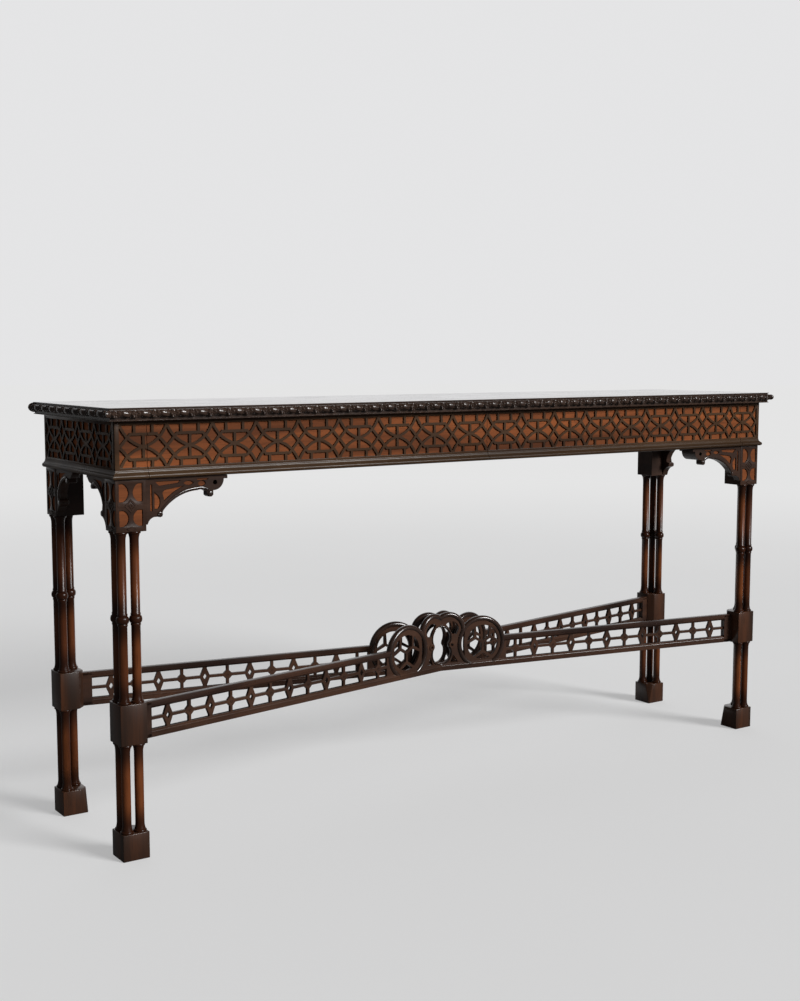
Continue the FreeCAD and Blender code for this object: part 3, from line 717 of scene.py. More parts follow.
class Machine(Tree):
    """A Geometry Nodes tree that makes what repeats or follows a line."""

    KINDS = {"Count": "NodeSocketInt", "Sides": "NodeSocketInt", "Finish": "NodeSocketMaterial"}

    def __init__(self, name: str, *sizes: str) -> None:
        """Start a tree.

        Args:
            name: Name of the tree.
            *sizes: Names of its inputs beside the work and the finish.
        """
        super().__init__(bpy.data.node_groups.new(name, "GeometryNodeTree"))
        sockets, work = self.tree.interface, {"name": "Work", "socket_type": "NodeSocketGeometry"}
        sockets.new_socket(in_out="INPUT", **work)
        self.keys = {
            key: sockets.new_socket(key, in_out="INPUT", socket_type=self.KINDS.get(key, "NodeSocketFloat")).identifier
            for key in (*sizes, "Finish")
        }
        sockets.new_socket(in_out="OUTPUT", **work)
        self.given = self.add("NodeGroupInput").outputs

    def marked(self, name: str, kind: str = "BOOLEAN") -> Socket:
        """A value that the guides carry."""
        return self.make("GeometryNodeInputNamedAttribute", {"Name": name}, data_type=kind)

    def split(self, name: str) -> tuple[Socket, Socket]:
        """The guides that carry a mark and the others."""
        values = {0: self.given["Work"], "Selection": self.marked(name)}
        return tuple(self.add("GeometryNodeSeparateGeometry", values, domain="POINT").outputs)

    def sweep(self, guide: Socket, profile: Socket, level: bool = True, **values: object) -> Socket:
        """Run a profile along a guide.

        Args:
            guide: The guide, as a mesh line.
            profile: The profile.
            level: Whether the profile is kept upright.
            **values: More inputs of the sweep.

        Returns:
            The swept mesh.
        """
        line = self.make("GeometryNodeMeshToCurve", {0: guide})
        if level:
            line = self.make("GeometryNodeSetCurveNormal", {0: line}, mode="Z_UP")
        return self.make("GeometryNodeCurveToMesh", {0: line, 1: profile, "Fill Caps": True, **values})

    def row(self, work: Socket) -> Socket:
        """Repeat the work in a straight row, by the inputs Pitch and Count.

        Args:
            work: What is repeated.

        Returns:
            The row.
        """
        step = self.make("ShaderNodeCombineXYZ", {0: self.given["Pitch"]})
        line = self.make("GeometryNodeMeshLine", {"Count": self.given["Count"], "Offset": step}, mode="OFFSET")
        return self.make("GeometryNodeInstanceOnPoints", {"Points": line, "Instance": work})

    def close(self, *work: Socket) -> None:
        """Join the work, make it real, give it its finish and end the tree.

        Args:
            *work: The parts of the work.
        """
        join = self.add("GeometryNodeJoinGeometry")
        for socket in work:
            self.link(socket, join.inputs[0])
        real = self.make("GeometryNodeRealizeInstances", {0: join.outputs[0]})
        done = self.make("GeometryNodeSetMaterial", {0: real, "Material": self.given["Finish"]})
        self.add("NodeGroupOutput", {0: done})

    def run(self, guides: bpy.types.Mesh, wood: Wood, **sizes: float) -> bpy.types.Mesh:
        """Run the tree on its guides, which are used up.

        Args:
            guides: The mesh that it works on.
            wood: Finish of what it makes.
            **sizes: Input name to its value.

        Returns:
            The result as a plain mesh.
        """
        holder = bpy.data.objects.new(guides.name, guides)
        bpy.context.scene.collection.objects.link(holder)
        modifier = holder.modifiers.new(self.tree.name, "NODES")
        modifier.node_group = self.tree
        for key, value in {**sizes, "Finish": wood.material()}.items():
            modifier[self.keys[key]] = value
        graph = bpy.context.evaluated_depsgraph_get()
        plain = bpy.data.meshes.new_from_object(holder.evaluated_get(graph))
        holder.modifiers.remove(modifier)
        bpy.data.objects.remove(holder)
        bpy.data.meshes.remove(guides)
        return plain


class StripMachine(Machine):
    """Lays flat strips along guides; guides that aren't marked "once" are repeated in a row."""

    def __init__(self) -> None:
        """Build the tree."""
        super().__init__("fret_strips", "Width", "Height", "Draft", "Pitch", "Count")
        height, width = self.given["Height"], self.given["Width"]
        top = self.math("SUBTRACT", width, self.given["Draft"])
        profile = self.make(
            "GeometryNodeCurvePrimitiveQuadrilateral",
            {"Height": height, "Bottom Width": width, "Top Width": top, "Offset": 0.0}, mode="TRAPEZOID",
        )
        lifted = self.make("ShaderNodeCombineXYZ", {2: self.math("MULTIPLY", height, 0.5)})
        once, repeated = (
            self.make("GeometryNodeTransform", {0: self.sweep(part, profile), "Translation": lifted})
            for part in self.split("once")
        )
        self.close(once, self.row(repeated))


class TurningMachine(Machine):
    """Turns a column from a guide that carries its half width, and stands it on the points marked "centre"."""

    def __init__(self) -> None:
        """Build the tree."""
        super().__init__("turned_columns", "Sides")
        centres, guide = self.split("centre")
        ring = self.make("GeometryNodeCurvePrimitiveCircle", {"Resolution": self.given["Sides"], "Radius": 1.0})
        turned = self.sweep(guide, ring, False, Scale=self.marked("girth", "FLOAT"))
        self.close(self.make("GeometryNodeInstanceOnPoints", {"Points": centres, "Instance": turned}))


class BeadMachine(Machine):
    """Runs an oval bead along guides."""

    def __init__(self) -> None:
        """Build the tree."""
        super().__init__("oval_bead", "Width", "Depth", "Sides")
        ring = self.make("GeometryNodeCurvePrimitiveCircle", {"Resolution": self.given["Sides"], "Radius": 0.5})
        size = self.make("ShaderNodeCombineXYZ", {0: self.given["Width"], 1: self.given["Depth"], 2: 1.0})
        self.close(self.sweep(self.given["Work"], self.make("GeometryNodeTransform", {0: ring, "Scale": size})))


class RowMachine(Machine):
    """Repeats one carved length end to end and joins the lengths."""

    def __init__(self) -> None:
        """Build the tree."""
        super().__init__("carved_lengths", "Pitch", "Count")
        real = self.make("GeometryNodeRealizeInstances", {0: self.row(self.given["Work"])})
        self.close(self.make("GeometryNodeMergeByDistance", {0: real, "Distance": 0.001}))


class Guides:
    """Guide lines in the making, with the marks that a machine reads."""

    def __init__(self) -> None:
        """Start with none."""
        self.spots: list[Place] = []
        self.links: list[tuple[int, int]] = []
        self.marks: dict[str, list[float]] = {}

    def line(self, points: list[tuple[float, ...]], **marks: object) -> None:
        """Add a line.

        Args:
            points: Its points, with or without a height.
            **marks: Name of a mark to one value for all points or a value for each.
        """
        first = len(self.spots)
        self.spots += [(*point, 0.0) if len(point) == 2 else point for point in points]
        self.links += [(first + index, first + index + 1) for index in range(len(points) - 1)]
        for key, value in marks.items():
            column = self.marks.setdefault(key, [])
            column += [0.0] * (first - len(column))
            column += value if isinstance(value, list) else [float(value)] * len(points)

    def mesh(self, name: str) -> bpy.types.Mesh:
        """Make the mesh that carries the guides and their marks.

        Args:
            name: Name of the mesh.

        Returns:
            The mesh.
        """
        mesh = bpy.data.meshes.new(name)
        mesh.from_pydata(self.spots, self.links, [])
        for key, column in self.marks.items():
            column = column + [0.0] * (len(self.spots) - len(column))
            kind = "FLOAT" if key == "girth" else "BOOLEAN"
            values = column if kind == "FLOAT" else [value > 0.5 for value in column]
            mesh.attributes.new(key, kind, "POINT").data.foreach_set("value", values)
        return mesh


@dataclass
class Workshop:
    """The machines that the sub-assemblies are made with.

    Attributes:
        strips: Lays the straps of the fret.
        turning: Turns the columns.
        beads: Runs the round mouldings.
        rows: Repeats the carved lengths.
    """

    strips: StripMachine = field(default_factory=StripMachine)
    turning: TurningMachine = field(default_factory=TurningMachine)
    beads: BeadMachine = field(default_factory=BeadMachine)
    rows: RowMachine = field(default_factory=RowMachine)


# ------------------------------------------------------------------ studio


@dataclass
class Studio:
    """Pale floor, even light and the camera.

    Attributes:
        backdrop: Colour of everything behind the table, as the camera sees it.
        floor: Colour of the floor.
        floor_patches: Share of that brightness in its darker patches.
        floor_radius: Its size, in metres.
        fade_range: Distances, in metres, between which it fades into the backdrop.
        fade_start: Share of the backdrop's colour within the first of them.
        room: Share of that brightness that the polish mirrors where no backdrop stands.
        bounce: Colour with which the floor lights the table from below.
        ambience: Strength with which the surroundings light the table.
        backlight: The same from the backdrop's side.
        behind: Direction of the backdrop.
        behind_range: How far a direction agrees with it where the backdrop starts and where it is full.
        sun: Direction in which the lamp's light travels.
        sun_strength: Its brightness.
        sun_width: Its width in degrees, which softens the shadows.
        eye: Place of the camera.
        heading: Degrees from the table's front-to-back direction, towards its right end.
        dip: Degrees below level.
        lens: Focal length in millimetres on a sensor 36 mm long.
    """

    backdrop: float = 0.78
    floor: float = 0.97
    floor_patches: float = 0.985
    floor_radius: float = 40.0
    fade_range: Point = (2.2, 7.5)
    fade_start: float = 0.45
    room: float = 0.08
    bounce: float = 0.12
    ambience: float = 0.15
    backlight: float = 0.8
    behind: Place = (0.5, 0.87, 0.0)
    behind_range: Point = (0.55, 0.9)
    sun: Place = (-0.42, 0.80, -0.42)
    sun_strength: float = 2.95
    sun_width: float = 22.0
    eye: Place = (-1.8709, -2.6143, 0.9774)
    heading: float = 33.99
    dip: float = 6.12
    lens: float = 49.67

    def place(self, name: str, data: bpy.types.ID) -> bpy.types.Object:
        """Put something into the studio.

        Args:
            name: Its name.
            data: Its mesh, lamp or camera.

        Returns:
            The new object.
        """
        thing = bpy.data.objects.new(name, data)
        bpy.context.scene.collection.objects.link(thing)
        return thing

    def facing(self, work: Tree, direction: Socket) -> Socket:
        """How far a direction agrees with the backdrop's."""
        node = work.add("ShaderNodeVectorMath", {0: direction, 1: self.behind}, operation="DOT_PRODUCT")
        return node.outputs["Value"]

    def build_floor(self) -> None:
        """Lay the floor, which stays plain and pale and takes the table's shadow."""
        bench = Bench()
        bmesh.ops.create_circle(bench.bm, cap_ends=True, segments=96, radius=self.floor_radius)
        floor = self.place("floor", bench.mesh("floor"))
        work = Shader("pale_floor")
        patches = work.spread(work.noise((1.0, 1.0, 1.0), 1.3, 2.0), 0.3, 0.7, 0.0, 1.0)
        tone = work.blend(patches, (self.floor,) * 3, (self.floor * self.floor_patches,) * 3)
        path = work.add("ShaderNodeLightPath").outputs
        seen = work.math("MAXIMUM", path["Is Camera Ray"], path["Is Glossy Ray"])
        towards = work.make("ShaderNodeVectorMath", {0: work.at}, operation="NORMALIZE")
        mirrored = work.spread(self.facing(work, towards), *self.behind_range, self.room, 1.0)
        strength = work.math("MAXIMUM", path["Is Camera Ray"], mirrored)
        share = work.math("MULTIPLY", seen, strength)
        work.feed(work.surface, {
            "Base Color": work.blend(share, (self.bounce,) * 3, tone), "Roughness": 0.85, "Specular IOR Level": 0.2,
        })
        away = work.add("ShaderNodeVectorMath", {0: work.at}, operation="LENGTH").outputs["Value"]
        fade = work.math("MULTIPLY", work.spread(away, *self.fade_range, self.fade_start, 1.0), seen)
        glow = work.make("ShaderNodeEmission", {"Color": (*(self.backdrop,) * 3, 1.0), "Strength": strength})
        mix = work.make("ShaderNodeMixShader", {0: fade, 1: work.surface.outputs[0], 2: glow})
        work.link(mix, work.output.inputs["Surface"])
        floor.data.materials.append(work.material)

    def build_world(self) -> None:
        """Make the pale surroundings, which light the table less than they show."""
        world = bpy.data.worlds.new("surroundings")
        bpy.context.scene.world = world
        world.use_nodes = True
        work = Tree(world.node_tree)
        path = work.add("ShaderNodeLightPath").outputs
        seen = work.math("MAXIMUM", path["Is Camera Ray"], path["Is Glossy Ray"])
        behind = self.facing(work, work.make("ShaderNodeTexCoord"))
        mirrored, light = (
            work.spread(behind, *self.behind_range, low, high, "LINEAR")
            for low, high in ((self.room, 1.0), (self.ambience, self.backlight))
        )
        strength = work.math("MAXIMUM", path["Is Camera Ray"], mirrored)
        cool = (self.backdrop, self.backdrop, self.backdrop * 1.01, 1.0)
        lit = work.make("ShaderNodeBackground", {"Color": (0.97, 0.98, 1.0, 1.0), "Strength": light})
        shown = work.make("ShaderNodeBackground", {"Color": cool, "Strength": strength})
        mix = work.make("ShaderNodeMixShader", {0: seen, 1: lit, 2: shown})
        work.add("ShaderNodeOutputWorld", {"Surface": mix})

    def build_lamp(self) -> None:
        """Hang the soft, far lamp."""
        lamp = bpy.data.lights.new("key_lamp", "SUN")
        lamp.energy, lamp.angle = self.sun_strength, math.radians(self.sun_width)
        self.place("key_lamp", lamp).rotation_euler = Vector(self.sun).to_track_quat("-Z", "Y").to_euler()

    def build_camera(self) -> None:
        """Stand the camera."""
        data = bpy.data.cameras.new("camera")
        data.sensor_fit, data.sensor_width = "AUTO", 36.0
        data.lens, data.clip_end = self.lens, 200.0
        camera = self.place("camera", data)
        camera.location = self.eye
        camera.rotation_euler = (math.radians(90 - self.dip), 0.0, -math.radians(self.heading))
        bpy.context.scene.camera = camera

    def build(self) -> None:
        """Build the whole studio."""
        self.build_floor()
        self.build_world()
        self.build_lamp()
        self.build_camera()
        bpy.context.scene.view_settings.view_transform = "Standard"


# ---------------------------------------------------------- sub-assemblies


@dataclass
class Assembly:
    """A sub-assembly of the table.

    Attributes:
        shop: The machines.
        half_length: Middle of the table to its outer face, along the front.
        half_depth: The same along the sides.
    """

    shop: Workshop
    half_length: float = 876.0
    half_depth: float = 188.0


@dataclass
class CarvedEdge(Assembly):
    """Moulding round the top with its carved roll.

    Attributes:
        top: Height of the table.
        overhang: How far the moulding stands out.
        roll: How far out and how far below the top the roll's axis lies.
        roll_radius: The carved roll at its highest.
        core_radius: The roll between its carvings.
        pitch: Length of one rosette with one leaf, about.
        unrolled: Distance round the roll for each radian, for the carving.
        heart: Radius and height of a rosette's heart.
        petals: Number of its petals.
        petal_ring: Mean radius of the petals' ring, how far it waves and its half width.
        leaf: Half length and half width of the leaf between two rosettes.
        leaf_slant: How far the leaf leans.
        carved_turn: Degrees up and down from the roll's outermost line that are carved.
    """

    top: float = 875.0
    overhang: float = 25.0
    roll: Point = (14.9, -11.2)
    roll_radius: float = 10.1
    core_radius: float = 6.9
    pitch: float = 39.2
    unrolled: float = 8.6
    heart: Point = (2.0, 0.55)
    petals: int = 6
    petal_ring: Place = (6.6, 1.2, 1.9)
    leaf: Point = (8.0, 6.4)
    leaf_slant: float = 0.35
    carved_turn: float = 96.0

    def profile(self) -> list[Point]:
        """Fillet, seat of the roll and foot in section.

        Returns:
            The section, as how far out and how far up.
        """
        foot = [(0, -25), (15.8, -25), (16.3, -24.7), (16.3, -23.9), (15.9, -23.5), (14.4, -23.3)]
        fillet = [(14.4, -1.6), (16.3, -1.6), (16.3, -0.4), (15.9, 0), (0, 0)]
        return foot + fillet

    def swell(self, along: float, around: float, pitch: float) -> float:
        """Height of the carving above the core.

        Args:
            along: Distance from the middle of a rosette.
            around: Angle up from the roll's outermost line.
            pitch: Length of one rosette with one leaf.

        Returns:
            A share from 0 to 1.
        """
        across = self.unrolled * around
        reach, turn = math.hypot(along, across), math.atan2(across, along)
        heart = math.exp(-((reach / self.heart[0]) ** 4))
        mean, wave, wide = self.petal_ring
        petal = math.exp(-(((reach - mean - wave * math.cos(self.petals * turn)) / wide) ** 2))
        from_leaf = along - math.copysign(pitch / 2, along)
        ridge = math.exp(-(((across + self.leaf_slant * from_leaf) / self.leaf[1]) ** 6))
        return max(self.heart[1] * heart, petal, ridge * math.exp(-((from_leaf / self.leaf[0]) ** 6)))

    def length(self, pitch: float, steps: int = 32, turns: int = 18) -> bpy.types.Mesh:
        """One carved length of the roll, open at both ends.

        Args:
            pitch: Its length.
            steps: Rows of faces along it.
            turns: Rows of faces round it.

        Returns:
            The mesh, in millimetres, on a plane that looks outwards.
        """
        bench, rings = Bench(), []
        for step in range(steps + 1):
            along = pitch * (step / steps - 0.5)
            ring = []
            for turn in range(turns + 1):
                around = math.radians(self.carved_turn) * (2 * turn / turns - 1)
                swell = self.swell(along, around, pitch)
                radius = self.core_radius + (self.roll_radius - self.core_radius) * swell
                rise = min(max(radius * math.sin(around), -self.roll_radius), self.roll_radius)
                ring.append(bench.bm.verts.new((along, self.roll[1] + rise, self.roll[0] + radius * math.cos(around))))
            rings.append(ring)
        for low, high in zip(rings, rings[1:]):
            for index in range(len(low)):
                after = (index + 1) % len(low)
                bench.bm.faces.new((low[index], high[index], high[after], low[after]))
        return bench.mesh("carved_length")

    def carved_roll(self, plane: Plane, reach: float, out: Vector) -> Bench:
        """The carved roll of one side, mitred at both ends.

        Args:
            plane: The side's outer face at the top of the table.
            reach: Its middle to its corners.
            out: The way that it looks.

        Returns:
            The roll.
        """
        whole = reach + self.overhang
        count = 2 * round(whole / self.pitch)
        pitch = 2 * whole / count
        carving = self.shop.rows.run(self.length(pitch), Wood.EDGE, Pitch=pitch, Count=count)
        carving.transform(Matrix.Translation((pitch / 2 - whole, 0, 0)))
        carved, across = Bench(), Vector(plane.across)
        carved.add(carving, plane)
        for way in (-1, 1):
            carved.saw(Vector(plane.origin) + way * reach * across, way * across - out)
        carved.fill([item for item in carved.bm.edges if item.is_boundary])
        return carved

    def build(self) -> None:
        """Build the four sides, mitred at the corners; the back is left plain."""
        for facing in Facing:
            reach, depth = self.half_length, self.half_depth
            if facing in (Facing.LEFT, Facing.RIGHT):
                reach, depth = depth, reach
            out = Vector(facing.value).cross(Vector((0, 0, 1)))
            plane = facing.plane(out.x * depth, out.y * depth, self.top)
            bench = Bench()
            bench.moulding(plane, self.profile(), (-reach, reach), (1.0, 1.0))
            for face in bench.bm.faces:
                if min(vert.co.z for vert in face.verts) > (self.top - 0.01) * MM:
                    face.material_index = 1
            if facing is Facing.BACK:
                bench.moulding(plane, circle(self.roll, self.roll_radius, 28), (-reach, reach), (1.0, 1.0))
            else:
                bench.take(self.carved_roll(plane, reach, out))
            name = facing.name.lower()
            bench.finish(
                "carved_edge_" + name, "top_moulding_" + name, Slot.DARK, [Wood.EDGE, Wood.TOP], smooth=44.0
            )


@dataclass
class Frieze(Assembly):
    """Blind fret and bead of the frieze, on the two drawers, the fixed ends and the sides.

    Attributes:
        thickness: The fret with its ground.
        ground: Thickness of the ground below the straps.
        foot: Height of the fret's lower edge.
        top: Height of its upper edge on the fixed pieces.
        drawer_top: The same on the drawers.
        rails: Height of the top of the lower rail and of the foot of the upper one.
        bead_foot: Height of the bead's lower edge.
        heart: Height of the crossings in the middle of the cells.
        half_cell: Middle of a cell to its end, on the front.
        half_side_cell: The same on the sides.
        joint: Middle of the table to the joint between a drawer and a fixed end.
        long_strap: How far the long straps lie above and below the crossings.
        post_strap: How far the posts reach above and below, and how far they stand from the cell's middle.
        strap: Width of the straps.
        draft: How much narrower they are at their face.
        stile: Width of the plain edge at the corners.
    """

    thickness: float = 3.5
    ground: float = 0.2
    foot: float = 757.0
    top: float = 850.0
    drawer_top: float = 849.0
    rails: Point = (761.8, 842.0)
    bead_foot: float = 740.0
    heart: float = 800.7
    half_cell: float = 48.1
    half_side_cell: float = 43.5
    joint: float = 810.4
    long_strap: float = 23.85
    post_strap: Point = (42.0, 18.4)
    strap: float = 5.4
    draft: float = 0.7
    stile: float = 9.0

    def half(self, guides: Guides, centre: float, way: int, width: float, once: bool = True) -> None:
        """Set out half a cell: its arcs, diagonals, long straps and posts, each sunk a little below the last.

        Args:
            guides: Where the lines go.
            centre: Middle of the cell.
            way: 1 for its right half and -1 for its left half.
            width: Its width.
            once: Whether the lines aren't repeated.
        """
        rise, (tall, beside), straps = self.long_strap, self.post_strap, []
        for up in (-1, 1):
            straps += [
                (0.06 if up > 0 else 0.12, trace((0, 0), ((26.2, up * 12.4), (47.6, up * 41.8)), chord=4.5)),
                (0.18 if up > 0 else 0.21, [(26.4, up * (rise + 0.7)), (48.4, -up * 0.35)]),
                (0.24, [(0, up * rise), (28.4, up * rise)]),
                (0.30, [(beside, up * rise), (beside, up * tall)]),
            ]
            if way > 0:
                straps.append((0.30, [(0, 0), (0, up * rise)]))
        grow, lower = width / self.half_cell, 0.03 if way < 0 else 0.0
        for sink, points in straps:
            level = self.ground - (sink + lower)
            guides.line([(centre + way * grow * x, self.heart + y, level) for x, y in points], once=once)

    def cell(self, guides: Guides, centre: float, width: float, once: bool) -> None:
        """Set out a whole cell, of two halves of that width."""
        for way in (-1, 1):
            self.half(guides, centre, way, width, once)

    def lay(
        self, guides: Guides, plane: Plane, pitch: float, count: int, cuts: Point, span: Point, top: float,
        stiles: tuple[Side, ...],
    ) -> Bench:
        """Lay the straps along their guides, the ground, the rails and the stiles.

        Args:
            guides: The straps' middle lines.
            plane: The back of the fret.
            pitch: Length of a cell that is repeated.
            count: How often it is.
            cuts: Where the straps are sawn off, in the order of sawing.
            span: The fret's two ends.
            top: Its upper edge.
            stiles: The ends that have a stile.

        Returns:
            The fret.
        """
        bench = Bench()
        strips = self.shop.strips.run(
            guides.mesh("fret_guides"), Wood.FRET, Width=self.strap, Height=self.thickness - self.ground,
            Draft=self.draft, Pitch=pitch, Count=count,
        )
        # The strips' side walls get finish 2, a near-black painted shade.
        bench.add(strips, plane, 0, 2)
        across = Vector(plane.across)
        for cut, other in (cuts, cuts[::-1]):
            bench.saw(cut * across, math.copysign(1.0, cut - other) * across)
        bench.bar(plane, (span[0], self.foot, span[1], top), [(0, 0), (0, self.ground)], 1)
        edge = eased_front(0.0, self.thickness, 0.4)
        for low, high in ((self.foot, self.rails[0]), (self.rails[1], top)):
            bench.bar(plane, (span[0], low, span[1], high), edge)
        for side in stiles:
            outer = span[0] if side is Side.LEFT else span[1]
            left, right = ordered(outer, outer - side * self.stile)
            bench.bar(plane, (left, self.foot, right, top), eased_front(0.0, self.thickness + 0.04, 0.4))
        return bench

    def bead_profile(self) -> list[Point]:
        """Bead in section, with a cove above it.

        Returns:
            The section, as how far out of the ground and how far up.
        """
        nose = trace((8.8, 0.9), ((10.5, 4.6), (8.6, 8.4)), chord=0.8)
        cove = trace((7.4, 9.4), ((4.9, 12.0), (3.9, 16.2)), chord=1.0)
        return [(0, 0), (7.4, 0), *nose, (7.4, 8.8), *cove, (3.5, 17), (0, 17)]

    def front_plane(self, level: float = 0.0) -> Plane:
        """Return the ground of the front."""
        return Facing.FRONT.plane(0.0, self.thickness - self.half_depth, level)

    def finish(self, work: Bench, name: str, node: str, body: str = "frame") -> None:
        """Fit a fret to the table."""
        # Finish 2 is the near-black painted shade of the walls.
        work.finish(name, node, Slot.FRET, [Wood.FRET, Wood.GROUND, Wood.RECESS], body)

    def drawer(self, side: Side) -> None:
        """Build the fret and the bead of one drawer.

        Args:
            side: The drawer's side.
        """
        body, cell = "drawer_" + side.name.lower(), self.half_cell
        span = ordered(side * 0.5, side * (self.joint - 0.9))
        guides = Guides()
        self.cell(guides, side * cell, cell, False)
        self.half(guides, side * 17 * cell, -side, cell)
        work = self.lay(guides, self.front_plane(), side * 2 * cell, 8, span, span, self.drawer_top, ())
        self.finish(work, body + "_fret_work", body + "_fret", body)
        bead = Bench()
        bead.moulding(self.front_plane(self.bead_foot), self.bead_profile(), span)
        bead.finish(body + "_bead_moulding", body + "_bead", Slot.DARK, [Wood.BEAD], body, 40.0)

    def fixed_end(self, side: Side) -> None:
        """Build the fret and the bead of one side with its return on the front.

        Args:
            side: The side.
        """
        inner, outer, wall = self.joint + 0.1, self.half_length, self.half_length - self.thickness
        cell, side_cell = self.half_cell, self.half_side_cell
        guides = Guides()
        self.cell(guides, side * 17 * cell, cell, True)
        self.half(guides, side * 19 * cell, -side, cell)
        cuts, span = (side * inner, side * (outer - 3)), ordered(side * inner, side * outer)
        bench = self.lay(guides, self.front_plane(), 100.0, 1, cuts, span, self.top, (side,))

        guides = Guides()
        self.cell(guides, -3 * side_cell, side_cell, False)
        for end in End:
            self.half(guides, end * 5 * side_cell, -end, side_cell)
        reach = ordered(-side * (self.half_depth - self.thickness), side * self.half_depth)
        cuts = (-side * (self.half_depth - 6), side * (self.half_depth - 3))
        plane, both = side.facing.plane(side * wall, 0.0), (Side.LEFT, Side.RIGHT)
        bench.take(self.lay(guides, plane, 2 * side_cell, 4, cuts, reach, self.top, both))
        name = side.name.lower()
        self.finish(bench, "frieze_fret_" + name, "fret_" + name)

        bead = Bench()
        front_mitres, side_mitres = ((1.0, 0.0), (0.0, 1.0))[:: -side]
        span = ordered(side * inner, side * wall)
        bead.moulding(self.front_plane(self.bead_foot), self.bead_profile(), span, front_mitres)
        level = side.facing.plane(side * wall, 0.0, self.bead_foot)
        bead.moulding(level, self.bead_profile(), reach, side_mitres)
        bead.finish("frieze_bead_" + name, "bead_" + name, Slot.DARK, [Wood.BEAD], smooth=40.0)

    def build(self) -> None:
        """Build every fret and bead."""
        for side in Side:
            self.fixed_end(side)
            self.drawer(side)


@dataclass(kw_only=True)
class CornerAssembly(Assembly):
    """A sub-assembly that belongs to one corner of the table.

    Attributes:
        side: The side that it is on.
        end: Its end of that side.
    """

    side: Side
    end: End

    @property
    def name(self) -> str:
        """Its corner in words, such as front_left."""
        return "%s_%s" % (self.end.name.lower(), self.side.name.lower())


